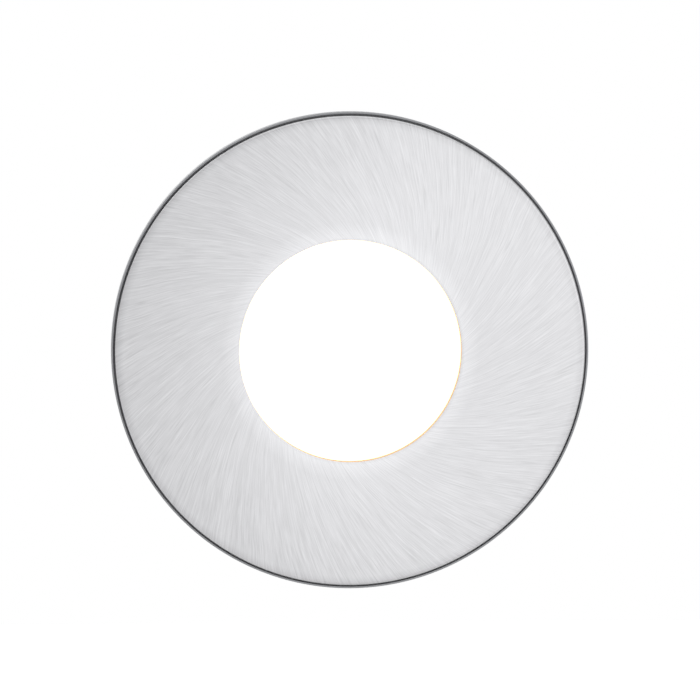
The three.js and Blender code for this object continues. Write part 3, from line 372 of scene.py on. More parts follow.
# %% Shades of the brushed face
# Each row turns a pattern, or the radius in mm, between two values into two shares of the shade.
shares = [
    (fine, 0.25, 0.75, 0.865, 1.135),        # the fine grain of the pad
    (long, 0.25, 0.75, 0.94, 1.06),          # longer strokes
    (broad, 0.3, 0.7, 0.995, 1.005),         # faint bands where the pad pressed harder
    (scratch, 0.72, 0.86, 1.0, 0.92),        # a few short deeper scratches
    # The rows by the radius paint light and shade into the steel's colour.
    (radius, 19.9, 20.3, 0.94, 1.0),         # painted shade: the bend at the aperture is darker
    (radius, 20.3, 23.0, 1.1, 1.0),          # painted light: the lens's glow on the rise beside it
    (radius, 22.0, 30.0, 1.04, 1.0),         # the painted glow fades towards the edge
    # painted shade: a little darker on towards the edge
    (radius, 30.0, 40.3, 1.0, 0.96),
    (radius, 40.3, 41.8, 1.0, 0.84),         # painted shade: a darker reflection on the round of the edge
]
shade = 1.0
for value, low, high, first, last in shares:
    share = add(tree, "MapRange", {0: value, 1: low, 2: high, 3: first, 4: last}).outputs[0]
    shade = add(tree, "Math", {0: shade, 1: share}, operation="MULTIPLY").outputs[0]
steel = add(tree, "VectorMath", {0: linear("#ccccce")[:3], "Scale": shade}, operation="SCALE")
rub = add(tree, "MapRange", {0: fine, 1: 0.3, 2: 0.7, 3: 0.34, 4: 0.42})
relief = add(tree, "Bump", {"Height": fine, "Distance": 0.004 * MM, "Strength": 0.6})
way = add(tree, "Tangent", direction_type="UV_MAP", uv_map="strokes")
for socket, node in (("Base Color", steel), ("Roughness", rub), ("Normal", relief),
                     ("Tangent", way)):
    tree.links.new(node.outputs[0], shader.inputs[socket])
print(f"brushed steel: {len(tree.nodes)} nodes")

# %% [markdown]
# The ring's inner wall and its back were never brushed. They keep the duller skin of rolled and
# pressed sheet. Beside the aperture the wall carries a painted warm tint, which stands for the
# lens's warm light on it, so the wall shows as a thin warm line.

# %% Pressed sheet steel
pressed, tree, shader = new_finish("pressed_sheet_steel", "brushed_bezel", metallic=1.0)
tint = grain(tree, shader, 0.8, "#8c8883", "#989590", relief=0.002, rough=(0.5, 0.6))
length = add(tree, "VectorMath", {0: front_view(tree)[2]}, operation="LENGTH").outputs["Value"]
# Painted light: near the aperture the wall is tinted warm, standing for the lens's warm light on
# it.
near = add(tree, "MapRange", {0: length, 1: 20.4 * MM, 2: 20.8 * MM, 3: 1.0, 4: 0.0}).outputs[0]
painted_lens_tint = add(tree, "Mix", {0: near, 6: tint, 7: linear("#9f9382")}, data_type="RGBA")
tree.links.new(painted_lens_tint.outputs[2], shader.inputs["Base Color"])

# %% The ring's surface
APERTURE, RING_EDGE, SHEET = 19.77, 41.85, 0.8
RING_FRONT, RING_CROWN = -5.1, 0.5
INNER_ROUND, OUTER_ROUND, BEND = 0.06, 0.5, 0.3
LIP_END, SKIRT_END = -2.8, -2.5


def ring_face(radius):
    """The face falls back with the square of the way from the aperture to the edge."""
    return RING_FRONT + RING_CROWN * ((radius - APERTURE) / (RING_EDGE - APERTURE)) ** 2


def quarter(centre, round_radius, first, last, steps=10):
    """Points on an arc from one angle to another, in degrees."""
    sweep = np.radians(np.linspace(first, last, steps))
    return np.array(centre) + round_radius * np.stack([np.cos(sweep), np.sin(sweep)], -1)


face = np.linspace(APERTURE + INNER_ROUND, RING_EDGE - OUTER_ROUND, 40)[1:-1]
edge = ring_face(RING_EDGE - OUTER_ROUND) + OUTER_ROUND
back = np.linspace(RING_EDGE - SHEET, APERTURE + SHEET + BEND, 12)
ring_outline = np.vstack([
    [[APERTURE, LIP_END]],
    quarter((APERTURE + INNER_ROUND, RING_FRONT + INNER_ROUND), INNER_ROUND, 180, 270),
    np.stack([face, ring_face(face)], -1),
    quarter((RING_EDGE - OUTER_ROUND, edge), OUTER_ROUND, 270, 360),
    [[RING_EDGE, SKIRT_END], [RING_EDGE - SHEET, SKIRT_END]],
    np.stack([back, ring_face(back) + SHEET], -1),
    [[APERTURE + SHEET, RING_FRONT + SHEET + BEND], [APERTURE + SHEET, LIP_END]],
])
ring = add_piece("ring_brushed", turned(ring_outline, 256), brushed, "front_bezel", body="bezel")

# %% The way the strokes run, as a UV map
mesh = ring.data
corner_vertex = read_all(mesh.loops, "vertex_index", 1, int)[:, 0]
spots = read_all(mesh.vertices, "co", 3)[corner_vertex] / MM
sizes = read_all(mesh.polygons, "loop_total", 1, int)[:, 0]
centres = read_all(mesh.polygons, "center", 3) / MM
facing = read_all(mesh.polygons, "normal", 3)
far, turn_angle = np.hypot(spots[:, 0], spots[:, 2]), np.arctan2(spots[:, 2], spots[:, 0])
middle = np.repeat(np.arctan2(centres[:, 2], centres[:, 0]), sizes)
turn_angle += 2 * np.pi * np.round((middle - turn_angle) / (2 * np.pi))
phase = turn_angle - STROKE_TURN * np.log(far) + STROKE_EASE * far
uv = mesh.uv_layers.new(name="strokes")
uv.data.foreach_set("uv", np.stack([far / RING_EDGE, phase / (2 * np.pi)], -1).ravel())
mesh.materials.append(pressed)
reach = np.hypot(centres[:, 0], centres[:, 2])
brushed_faces = (facing[:, 1] < -0.5) | (reach > RING_EDGE - 0.3)
mesh.polygons.foreach_set("material_index", np.where(brushed_faces, 0, 1))
print(f"strokes mapped on {int(brushed_faces.sum())} brushed faces")

# %% [markdown]
# ## The flange
# The ring lies in a flange of die-cast aluminium with a satin powder coat. From the front only
# its rim shows, past a dark gap, but the plate with its screws and magnets shows once the ring
# is pulled off, and the collar from behind.

# %% Powder-coated aluminium
# A powder coat melts to an even satin grey with a faint orange peel.
coated = grained("powder_coated_aluminium", "grey_flange", 0.35, "#9c9da0", "#a5a6a9", 0.006,
                 (0.42, 0.52), ior=1.5)


# %% Bars and screw circles
def solid(outline, ease, steps=3, sides=48):
    """A closed lathe: its outline starts and ends on the axis, and its corners are eased."""
    return turned(eased(outline, ease, steps, closed=False), sides, closed=False)


ALONG = {"+y": (), "-y": (("X", 180),), "+x": (("Z", -90),), "-x": (("Z", 90),),
         "+z": (("X", 90),), "-z": (("X", -90),)}


def round_bar(radius, low, high, ease=0.2, sides=48, along="+y", at=(0, 0, 0)):
    """A closed round bar with eased ends, from low to high along an axis through a place."""
    bar = solid([(0, low), (radius, low), (radius, high), (0, high)], ease, 3, sides)
    return placed(bar, at, ALONG[along])


def on_circle(radius, *angles):
    """The (x, z) places at some angles on a circle round the optical axis."""
    return [(radius * math.cos(math.radians(a)), radius * math.sin(math.radians(a)))
            for a in angles]


def bars_at(places, radius, low, high, ease=0.0, sides=48):
    """Equal round bars along Y at (x, z) places, as one shape."""
    bar = round_bar(radius, low, high, ease, sides)
    return together(*(placed(bar, (x, 0, z)) for x, z in places))


# %% The flange's surface
flange_outline = [
    (20.2, -2.4), (42.2, -2.4), (42.2, -3.7), (42.5, -3.7), (42.5, -0.2), (41.9, -0.2),
    (41.9, -1.0), (30.0, -1.0), (30.0, 9.0), (28.0, 9.0), (28.0, -1.0), (20.2, -1.0)]
flange_ease = [0.2, 0.1, 0.03, 0.05, 0.15, 0.1, 0.1, 0.5, 0.3, 0.3, 0.2, 0.2]
MAGNETS = on_circle(34.6, 270, 150, 30)
FLANGE_SCREWS = on_circle(25.5, 90, 210, 330)
LARGE_HOLE, SMALL_HOLE = 1.5, 1.15
body = turned(eased(flange_outline, flange_ease), 256)
body = carved(body, bars_at(MAGNETS, 4.05, -3.3, -2.0, 0.25), operation="UNION")
body = carved(body, bars_at(MAGNETS, 3.25, -4.0, -2.4),
              bars_at(FLANGE_SCREWS, LARGE_HOLE, -4.0, 0.0))
add_piece("flange_coated", body, coated, "carrier_flange")

# %% [markdown]
# ## The lit lens
# The lens is opal acrylic with the LED behind it, so it is both a glossy plastic and a lamp. Its
# light is warm white. It is brighter than the picture can show, most of all at its front, so the
# lens itself clips to white, and its warmth shows only on the ring's wall beside it, where it is
# also painted into the wall's colour as a warm tint.

# %% Opal acrylic
opal, tree, shader = new_finish("opal_acrylic_lit", "opal_lens", roughness=0.35, ior=1.49,
                                emission_color=(1.0, 0.68, 0.42, 1.0))
grain(tree, shader, 0.5, "#fbf6ec", "#fffaf0", rough=(0.3, 0.4))
axes = add(tree, "SeparateXYZ", {0: add(tree, "TexCoord").outputs["Object"]}).outputs
power = add(tree, "MapRange", {0: axes["Y"], 1: -2.1 * MM, 2: -0.3 * MM, 3: 2.0, 4: 1.4})
tree.links.new(power.outputs[0], shader.inputs["Emission Strength"])

# %% The lens's surface
LENS_RADIUS, LENS_EDGE, LENS_CROWN, LENS_ROUND = 19.4, -2.8, 0.4, 0.8
dome = np.linspace(0, LENS_RADIUS - LENS_ROUND, 24)
dome_height = LENS_EDGE - LENS_CROWN * (1 - (dome / dome[-1]) ** 2)
lens_outline = np.vstack([
    np.stack([dome, dome_height], -1),
    quarter((LENS_RADIUS - LENS_ROUND, LENS_EDGE + LENS_ROUND), LENS_ROUND, 280, 360, 8),
    eased([(LENS_RADIUS, -1.0), (LENS_RADIUS, -0.2), (22.8, -0.2), (22.8, 1.3), (18.0, 1.3),
           (18.0, -1.4), (0.0, -1.8)], 0.15, 3, closed=False),
])
add_piece("lens_opal", turned(lens_outline, 192, closed=False), opal, "diffuser_lens")

# %% [markdown]
# ## Soft rings and small discs in front
# A foam ring seals the flange to the ceiling, and a silicone ring seals the lens. Both are cut
# or moulded soft, so their edges are rounder than the metal's. Three nickel-plated magnets sit
# in cups on the flange and hold the steel ring.

# %% Foam, silicone and nickel
# Foam is matt and pitted, silicone soft and milky, and bright nickel a mirror with a warm tint.
foam = grained("closed_cell_eva_foam", "foam_gasket", 0.3, "#333436", "#434446", 0.08,
               (0.9, 1.0), specular_ior_level=0.2)
silicone = grained("moulded_silicone", "silicone_seal", 0.6, "#cfcfcb", "#dcdcd8", 0.004,
                   (0.5, 0.62), ior=1.41)
nickel = grained("bright_nickel_plate", "nickel_magnet", 0.9, "#cbc8c1", "#dad7d0", 0.002,
                 (0.16, 0.3), metallic=1.0)


# %% Rings and discs
def washer(inner, outer, low, high, ease, sides=160):
    """A ring of rectangular section with eased edges, turned about Y."""
    outline = [(inner, low), (outer, low), (outer, high), (inner, high)]
    return turned(eased(outline, ease, 3), sides)


add_piece("panel_seal_foam", washer(37.4, 41.6, -1.0, 0.0, 0.3, 192), foam, "panel_gasket")
add_piece("lens_seal_silicone", washer(20.5, 22.8, -1.0, -0.2, 0.25), silicone, "lens_gasket")
for number in (1, 2, 3):
    low, high = (np.array(corner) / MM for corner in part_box(f"bezel_magnet_{number}"))
    middle = (low + high) / 2
    disc = round_bar((high[0] - low[0]) / 2, low[1], high[1], 0.25, 64)
    add_piece(f"magnet_nickel_{number}", placed(disc, (middle[0], 0, middle[2])), nickel,
              f"bezel_magnet_{number}")

# %% [markdown]
# ## Screws
# All the screws are zinc-plated pan heads with a cross recess. One function draws a screw along
# +Y with its head's seat at 0: a lathe, and a helical thread whose radius falls and rises along
# the shank. Boolean cuts make the cross once for each size, and the finished arrays are then
# turned and put in each place.

# %% Zinc plate
# Zinc plate shines a little blue, with soft clouds where it grew unevenly.
zinc = grained("zinc_plated_steel", "zinc_steel", 1.6, "#b9bcc0", "#cfcfcc", 0.003,
               (0.26, 0.42), metallic=1.0)


# %% Lofts, threads and crosses
def loft(rings):
    """A closed surface over a stack of rings of points; each end closes to its middle."""
    rings = np.array(rings, float)
    ends = [np.broadcast_to(rings[i].mean(0), rings[i].shape) for i in (0, -1)]
    return grid(np.concatenate([ends[:1], rings, ends[1:]]))


ROWS_PER_TURN = 6


def threaded(radius, depth, pitch, low, high, sides):
    """r = radius - depth * |2 frac(y / pitch - a / 2 pi) - 1|, running out at both ends."""
    rows = int((high - low) / pitch * ROWS_PER_TURN)
    y = np.linspace(low, high, rows)[:, None]
    angle = np.linspace(0, 2 * np.pi, sides, endpoint=False)[None]
    wave = np.abs(2 * ((y / pitch - angle / (2 * np.pi)) % 1) - 1)
    fade = np.clip(np.minimum(y - low, high - y) / pitch, 0, 1)
    reach = radius - depth * (1 - fade * (1 - wave))
    return loft(around(reach, y, angle))


def cross(reach, half, top, depth):
    """A cross recess: two bars at right angles that narrow towards the bottom."""
    bars = []
    for long_half, wide_half in ((reach, half), (half, reach)):
        x = np.array([1, -1, -1, 1]) * long_half
        z = np.array([1, 1, -1, -1]) * wide_half
        bars.append(loft([
            np.stack([x * share, 0 * x + y, z * share], -1)
            for y, share in ((top - 0.5, 1.0), (top, 1.0), (top + depth, 0.62))]))
    return bars


def screw_shape(shank, head, height, length):
    """A pan-head screw along +Y: a domed head, the neck, and a threaded shank."""
    head_line = [(0, -height), (head * 0.6, -height * 0.97), (head * 0.9, -height * 0.7),
                 (head, -height * 0.25), (head, 0), (shank * 0.96, 0), (shank * 0.96, 0.8),
                 (0, 0.8)]
    thread = threaded(shank, shank * 0.14, shank * 0.4, 0.4, length, 24)
    body = carved(solid(head_line, 0.25), thread, operation="UNION")
    return carved(body, *cross(head * 0.56, head * 0.14, -height, height * 0.6))


# %% The screws in their places
LARGE_HEAD, SMALL_HEAD = (1.25, 2.3, 1.3), (0.9, 1.6, 1.0)
STANDOFFS = on_circle(14.0, 90, 210, 330)
HOLDER_SCREWS = [(0, 13.3), (0, -13.3)]
BOARD_SCREWS = [(21.4, 12.9), (-21.4, -9.5)]
BRACKET_SCREWS, BRACKET_FACE = (18.2, 29.8), 31.2


def seats(places, y=0):
    """Some (x, z) places as points at one y."""
    return [(x, y, z) for x, z in places]


def add_row(node, shape, places, along="+y"):
    """The same zinc-plated piece at each place, numbered from 1."""
    for number, place in enumerate(places, 1):
        add_piece(f"{node}_zinc_{number}", placed(shape, place, ALONG[along]), zinc,
                  f"{node}_{number}")


screw_rows = [
    ("housing_screw", LARGE_HEAD, 9.0, "+y", seats(FLANGE_SCREWS, -2.4)),
    ("holder_screw", SMALL_HEAD, 6.4, "+y", seats(HOLDER_SCREWS, 9.0)),
    ("standoff_screw", LARGE_HEAD, 5.8, "-y", seats(STANDOFFS, 43.0)),
    ("board_screw", SMALL_HEAD, 3.3, "-y", seats(BOARD_SCREWS, 46.8)),
    ("bracket_screw_right", SMALL_HEAD, 5.0, "-x", [(BRACKET_FACE, y, 0) for y in BRACKET_SCREWS]),
    ("bracket_screw_left", SMALL_HEAD, 5.0, "+x", [(-BRACKET_FACE, y, 0) for y in BRACKET_SCREWS]),
]
for node, head, length, along, places in screw_rows:
    add_row(node, screw_shape(*head, length), places, along)

# %% [markdown]
# ## Inside the cup
# A white reflector leads the light from the LED to the lens. The LED is a disc of yellow
# phosphor inside a low dam, on a white board that a moulded ring holds down on a soft thermal
# pad. All of them are turned shapes, and Booleans add the ears and holes.

# %% White plastics, phosphor, board and pad
# Moulded white is even and satin, and phosphor yellow and grainy under a clear skin. The mask on
# the board has a low gloss, and the filled pad is dull and chalky.
white_pbt = grained("moulded_white_pbt", "white_reflector", 0.25, "#ededea", "#f6f6f4", 0.004,
                    (0.38, 0.5), ior=1.55)
phosphor = grained("phosphor_in_silicone", "led_phosphor", 0.12, "#e8b53a", "#f6cf5c", 0.01,
                   (0.45, 0.6), ior=1.41, coat_weight=0.3)
board_white = grained("white_solder_mask", "led_laminate", 0.5, "#e9e9e4", "#f2f2ee", 0.003,
                      (0.3, 0.42), ior=1.5)
pad_blue = grained("filled_silicone_pad", "thermal_pad", 0.35, "#7d93a8", "#98acbf", 0.02,
                   (0.75, 0.9))

# %% Reflector, LED, board and pad
HOLDER_LOW, BOARD_LOW, PAD_LOW, PAD_HIGH = 9.0, 10.6, 12.2, 12.7
cup_outline = [(18.0, 1.3), (23.0, 1.3), (23.0, 2.5), (19.3, 2.5), (9.3, HOLDER_LOW),
               (8.0, HOLDER_LOW)]
cup = turned(eased(cup_outline, [0.3, 0.3, 0.3, 0.8, 0.3, 0.3]), 160)
add_piece("reflector_white", cup, white_pbt, "reflector_cup")
led_outline = [(0, 9.95), (5.1, 9.95), (5.35, 9.7), (5.9, 9.7), (6.2, 10.1), (6.5, 10.1),
               (6.5, BOARD_LOW), (0, BOARD_LOW)]
add_piece("led_phosphor", solid(led_outline, 0.15, 3, 96), phosphor, "led_chip")


def block_levels(low, high, ease):
    """The levels of a rounded box whose top and bottom edges are eased."""
    return [(ease, low), (0, low + ease), (0, high - ease), (ease, high)]


ear = rounded_box(2.5, 2.9, 1.2, block_levels(HOLDER_LOW, BOARD_LOW, 0.25))
holder = washer(8.0, 11.0, HOLDER_LOW, BOARD_LOW, 0.25, 96)
for side in (1, -1):
    holder = carved(holder, placed(ear, (0, 0, side * 12.5)), operation="UNION")
holder = carved(holder, bars_at(HOLDER_SCREWS, SMALL_HOLE, 8, 12))
add_piece("led_holder_white", holder, white_pbt, "led_holder")
board = carved(round_bar(16.0, BOARD_LOW, PAD_LOW, 0.1, 128),
               bars_at(HOLDER_SCREWS, SMALL_HOLE, 10, 13))
add_piece("led_board_white", board, board_white, "led_board")
pad = carved(round_bar(16.0, PAD_LOW, PAD_HIGH, 0.12, 128),
             bars_at(HOLDER_SCREWS, SMALL_HOLE, 12, 13))
add_piece("pad_silicone", pad, pad_blue, "thermal_pad")

# %% [markdown]
# ## Heat sink
# The heat sink is die-cast aluminium left as it comes from the mould: a dull grey with a fine
# grain. Cast fins taper a little, so that they slip out of the mould, and have round ends. The
# body is a lathe, and one Boolean joins all the fins to it.

# %% Die-cast aluminium
cast = grained("die_cast_aluminium", "cast_aluminium", 0.45, "#85878a", "#9a9c9e", 0.02,
               (0.5, 0.66), metallic=0.9)

# %% Fins, body and holes
FINS, FIRST_FIN = 9, 26.0
CORE, SINK_RADIUS, SHOULDER_BACK, FIN_START, SINK_END = 21.5, 29.6, 14.3, 13.8, 34.0
LEAD_PLACE = (-18.5, 0)
body_outline = [
    (0, PAD_HIGH), (21.7, PAD_HIGH), (21.7, 2.5), (23.3, 2.5), (23.3, -1.0), (27.7, -1.0),
    (27.7, 9.3), (SINK_RADIUS, 9.3), (SINK_RADIUS, SHOULDER_BACK), (CORE, SHOULDER_BACK),
    (CORE, SINK_END), (0, SINK_END)]
body = solid(body_outline, [0, 0.8, 0.3, 0.2, 0.4, 0.5, 0.4, 0.5, 0.5, 1.2, 0.8, 0], 4, 160)
fin_levels = [(0, FIN_START), (0.03, 20.0), (0.18, 33.2), (0.3, 33.7), (0.6, SINK_END)]
fin = placed(rounded_box(4.8, 0.9, 0.85, fin_levels, 4), (24.8, 0, 0))
seat_levels = [(0, FIN_START), (0, SINK_END - 0.4), (0.4, SINK_END)]
bracket_seat = placed(rounded_box(4.9, 7.6, 1.0, seat_levels, 4), (24.7, 0, 0))
fins = []
for side in (0, 180):
    spokes = FIRST_FIN + np.arange(FINS) * (180 - 2 * FIRST_FIN) / (FINS - 1) + side
    fins += [placed(fin, turns=(("Y", spoke),)) for spoke in spokes]
    fins.append(placed(bracket_seat, turns=(("Y", side),)))
body = carved(body, together(*fins), operation="UNION")
bracket_holes = [round_bar(SMALL_HOLE, 24.6, 31.0, 0, 24, along, (0, y, 0))
                 for y in BRACKET_SCREWS for along in ("-x", "+x")]
cutters = together(
    bars_at(FLANGE_SCREWS, LARGE_HOLE, -2, 7.6), bars_at(STANDOFFS, LARGE_HOLE, 29, 35),
    bars_at(HOLDER_SCREWS, SMALL_HOLE, 12, 15.4), bars_at([LEAD_PLACE], 1.8, 12, 35),
    *bracket_holes)
add_piece("heat_sink_cast", carved(body, cutters), cast, "heat_sink")

# %% [markdown]
# ## Clips
# Two sprung arms hold the light up behind the ceiling. Each arm is bent from sheet steel and
# turns on a riveted pin between the ears of a bracket. A black rubber sleeve keeps its tip from
# marking the panel. The parts on the left are those on the right, turned half round the axis.


# %% Sheet metal
def sheet(outline, low, high, ease=0.12):
    """An outline in x and y (anticlockwise) as a sheet across Z. Its two faces are drawn in by
    `ease`, along the mean of the two edges' normals at each corner."""
    outline = np.array(outline, float)
    edge = np.roll(outline, -1, 0) - outline
    edge /= np.linalg.norm(edge, axis=1, keepdims=True)
    normal = np.stack([edge[:, 1], -edge[:, 0]], -1)
    before = np.roll(normal, 1, 0)
    share = 1 + (normal * before).sum(1, keepdims=True)
    inner = outline - ease * (normal + before) / np.maximum(share, 0.3)
    rows = [(inner, low), (outline, low + ease), (outline, high - ease), (inner, high)]
    points, faces = grid(np.array([np.c_[line, np.full(len(line), z)] for line, z in rows]))
    count = len(outline)
    caps = [list(range(count)), list(range(3 * count, 4 * count))[::-1]]
    return points, faces + caps


SIDES = {"right": 0, "left": 180}
PIN_X, PIN_Y, PIN_HOLE = 34.4, 24.0, 1.35
PIN = (PIN_X, PIN_Y, 0)
REST_TURN = 12.5

# %% Brackets and pins
PLATE_HALF, PLATE_LOW, PLATE_HIGH = 7.6, 15.5, 32.5
plate_line = [(-PLATE_HALF, PLATE_LOW), (PLATE_HALF, PLATE_LOW), (PLATE_HALF, PLATE_HIGH),
              (-PLATE_HALF, PLATE_HIGH)]
plate = placed(sheet(eased(plate_line, 1.0), 29.8, 31.0), turns=(("Y", 90),))
ear_line = np.vstack([[(29.9, 19.2), (31.2, 19.6)], quarter((PIN_X, PIN_Y), 2.3, -75, 75, 25),
                      [(31.2, 28.4), (29.9, 28.8)]])
ears = together(sheet(ear_line, 6.4, PLATE_HALF), sheet(ear_line, -PLATE_HALF, -6.4))
bores = [round_bar(SMALL_HOLE, 28, 33, 0, 32, "+x", (0, y, 0)) for y in BRACKET_SCREWS]
bracket = carved(plate, ears, operation="UNION")
bracket = carved(bracket, together(round_bar(PIN_HOLE, -9, 9, 0, 48, "+z", PIN), *bores))
pin_line = [(0, -8.5), (1.45, -8.5), (1.8, -8.1), (1.8, -7.8), (1.1, -7.8), (1.1, 7.8),
            (1.8, 7.8), (1.8, 8.1), (1.45, 8.5), (0, 8.5)]
pin = placed(solid(pin_line, 0.2), PIN, ALONG["+z"])
for side, turn in SIDES.items():
    for name, shape in (("bracket", bracket), ("pin", pin)):
        add_piece(f"{name}_zinc_{side}", placed(shape, turns=(("Y", turn),)), zinc,
                  f"clip_{name}_{side}")

# %% Arms and sleeves
# Moulded rubber is nearly black, with a dull sheen.
rubber = grained("moulded_epdm_rubber", "black_rubber", 0.5, "#1d1d1f", "#2a2a2c", 0.01,
                 (0.62, 0.8), specular_ior_level=0.35)
ARM_REACH, ARM_HALF, BARREL_IN, BARREL_OUT = 23.587, 4.8, 4.9, 6.1
arm_line = [
    (BARREL_OUT, 0), (BARREL_IN, 0), (BARREL_IN, -4.2), (-BARREL_IN, -4.2), (-BARREL_IN, 0),
    (-BARREL_OUT, 0), (-BARREL_OUT, -8.0), (-ARM_HALF, -12.0), (-ARM_HALF, -ARM_REACH),
    (ARM_HALF, -ARM_REACH), (ARM_HALF, -12.0), (BARREL_OUT, -8.0)]
arm_ease = [0, 0, 0.9, 0.9, 0, 0, 1.2, 1.2, 0.8, 0.8, 1.2, 1.2]
arm = placed(sheet(eased(arm_line, arm_ease), -0.6, 0.6), turns=(("Y", 90),))
barrels = together(*(round_bar(2.3, low, high, 0.15, 48, "+z")
                     for low, high in ((BARREL_IN, BARREL_OUT), (-BARREL_OUT, -BARREL_IN))))
groove = placed(rounded_box(3.4, 1.1, 1.05, [(0.5, 0.3), (0, 0.6), (0, 1.0)]), (0, -10.5, 0),
                ALONG["+x"])
arm = carved(arm, barrels, operation="UNION")
arm = carved(arm, round_bar(PIN_HOLE, -7, 7, 0, 48, "+z"), groove)
sleeve_levels = [(0.35, 0), (0, 0.35)]
for low in (1.4, 3.2, 5.0):             # three grip grooves
    sleeve_levels += [(0, low), (0.22, low + 0.2), (0.22, low + 0.6), (0, low + 0.8)]
sleeve_levels += [(0, 7.0), (0.3, 7.3)]
sleeve = placed(rounded_box(1.75, 5.95, 0.9, sleeve_levels), (0, -ARM_REACH - 0.3, 0))
sleeve = carved(sleeve, rounded_box(0.85, 5.05, 0.25, [(0, -30), (0, -10)], 3))
for side, turn in SIDES.items():
    for name, shape, finish, node in (("arm_zinc", arm, zinc, "clip_arm"),
                                      ("sleeve_rubber", sleeve, rubber, "clip_sleeve")):
        at_rest = placed(shape, PIN, (("Z", REST_TURN),))
        add_piece(f"{name}_{side}", placed(at_rest, turns=(("Y", turn),)), finish,
                  f"{node}_{side}", body=f"{side}_clip")

# %% [markdown]
# ## Torsion springs
# Each spring is one wire: a hook in the bracket, a leg, five turns round the pin, and a leg that
# presses on the arm. The wire is a round tube along that path. When the arm swings, the coil has
# to wind with it. Here the spring is drawn at rest and rides on no body.

# %% Spring steel
# Drawn wire is smooth, and a darker grey than plated parts.
spring_steel = grained("drawn_spring_steel", "spring_steel", 0.5, "#7f8286", "#94979b", 0.004,
                       (0.24, 0.38), metallic=1.0)

# %% The wire's path
WIRE, COIL, TURNS, COIL_HALF = 0.5, 2.4, 5, 4.2
FIXED_LEG, MOVING_LEG, HOOK = 5.2, 8.6, 0.7
leg, rest = math.radians(45), math.radians(REST_TURN)
leg_x = COIL * math.cos(leg) - FIXED_LEG * math.sin(leg)
leg_y = COIL * math.sin(leg) + FIXED_LEG * math.cos(leg)
sweep = (leg - rest + TURNS * 2 * math.pi) * np.linspace(0, 1, 165)
coil = np.stack([COIL * np.cos(leg - sweep), COIL * np.sin(leg - sweep),
                 COIL_HALF - 2 * COIL_HALF * np.linspace(0, 1, 165)], -1)
first = eased([(31.3 - PIN_X, leg_y), (leg_x, leg_y), coil[0, :2]], 0.9, 6, closed=False)
bend = np.radians(np.linspace(0, 90, 8))
hook = np.stack([COIL - HOOK + HOOK * np.cos(bend), HOOK - MOVING_LEG - HOOK * np.sin(bend)], -1)
hook = np.vstack([hook, [(0.9, -MOVING_LEG)]])
hook = hook @ np.array([[math.cos(rest), math.sin(rest)], [-math.sin(rest), math.cos(rest)]])
path = np.vstack([np.c_[first[:-1], np.full(len(first) - 1, COIL_HALF)], coil,
                  np.c_[hook, np.full(len(hook), -COIL_HALF)]])
spring = placed(tube(path, WIRE), PIN)
for side, turn in SIDES.items():
    piece = add_piece(f"spring_steel_{side}", placed(spring, turns=(("Y", turn),)), spring_steel,
                      f"clip_spring_{side}", body=None, crease=60)
    sign = 1 if side == "right" else -1
    ends = [(sign * PIN_X * MM, PIN_Y * MM, sign * z * MM) for z in (COIL_HALF, -COIL_HALF)]
    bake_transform(piece)

# %% [markdown]
# ## Stand-offs
# Three hexagonal zinc-plated spacers keep the wiring box off the hot fins. Their corners are
# turned off by a cone, as on every hexagon cut from bar.


# %% Hexagons
def hexagon(radius, low, high, chamfer):
    """Reach of the outline at an angle: flat / cos(angle to the nearest flat). A cone takes the
    corners off at both ends."""
    angle = np.linspace(0, 2 * np.pi, 96, endpoint=False)
    to_flat = (angle + math.pi / 6) % (math.pi / 3) - math.pi / 6
    reach = radius * math.cos(math.pi / 6) / np.cos(to_flat)
    drop = np.maximum(reach - (radius - chamfer), 0) * 0.6
    small = np.minimum(reach, radius - chamfer)
    rows = [(small, low), (reach, low + drop), (reach, high - drop), (small, high)]
    return loft([around(r, y, angle) for r, y in rows])


post = carved(hexagon(2.6, SINK_END, 41.0, 0.3), round_bar(1.2, 30.0, 34.5, 0.15, 32),
              operation="UNION")
post = carved(post, round_bar(LARGE_HOLE, 36.0, 42.0, 0, 32))
add_row("standoff", post, seats(STANDOFFS))

# %% [markdown]
# ## Wiring box
# The box and its lid are moulded in grey flame-proof plastic. Moulded walls are all one
# thickness, their outside corners are round and their faces carry a fine spark texture. The
# lid turns on a steel pin through three knuckles and snaps over a catch on the other side.

# %% Grey plastic
grey_plastic = grained("moulded_grey_polycarbonate", "grey_plastic", 0.22, "#86888b", "#8f9194",
                       0.02, (0.48, 0.6), ior=1.58)

# %% The box
BOX_X, BOX_Z, BOX_CORNER, WALL, BOX_LOW, BOX_END = 27.0, 18.5, 4.5, 1.8, 41.0, 60.0
BOX_FLOOR = BOX_LOW + WALL
box_levels = [
    (1.2, BOX_LOW), (0.35, BOX_LOW + 0.3), (0, BOX_LOW + 1.1), (0, BOX_END - 0.2),
    (0.2, BOX_END), (WALL - 0.2, BOX_END), (WALL, BOX_END - 0.2), (WALL, BOX_FLOOR + 0.8),
    (WALL + 0.25, BOX_FLOOR + 0.2), (WALL + 0.9, BOX_FLOOR)]
box = rounded_box(BOX_X, BOX_Z, BOX_CORNER, box_levels, 10)


def brick(low, high, ease=0.15):
    """A block between two corners with its upright edges rounded by `ease`."""
    low, high = np.array(low, float), np.array(high, float)
    half, middle = (high - low) / 2, (high + low) / 2
    levels = block_levels(low[1], high[1], ease)
    return placed(rounded_box(half[0], half[2], ease * 2, levels, 3), (middle[0], 0, middle[2]))


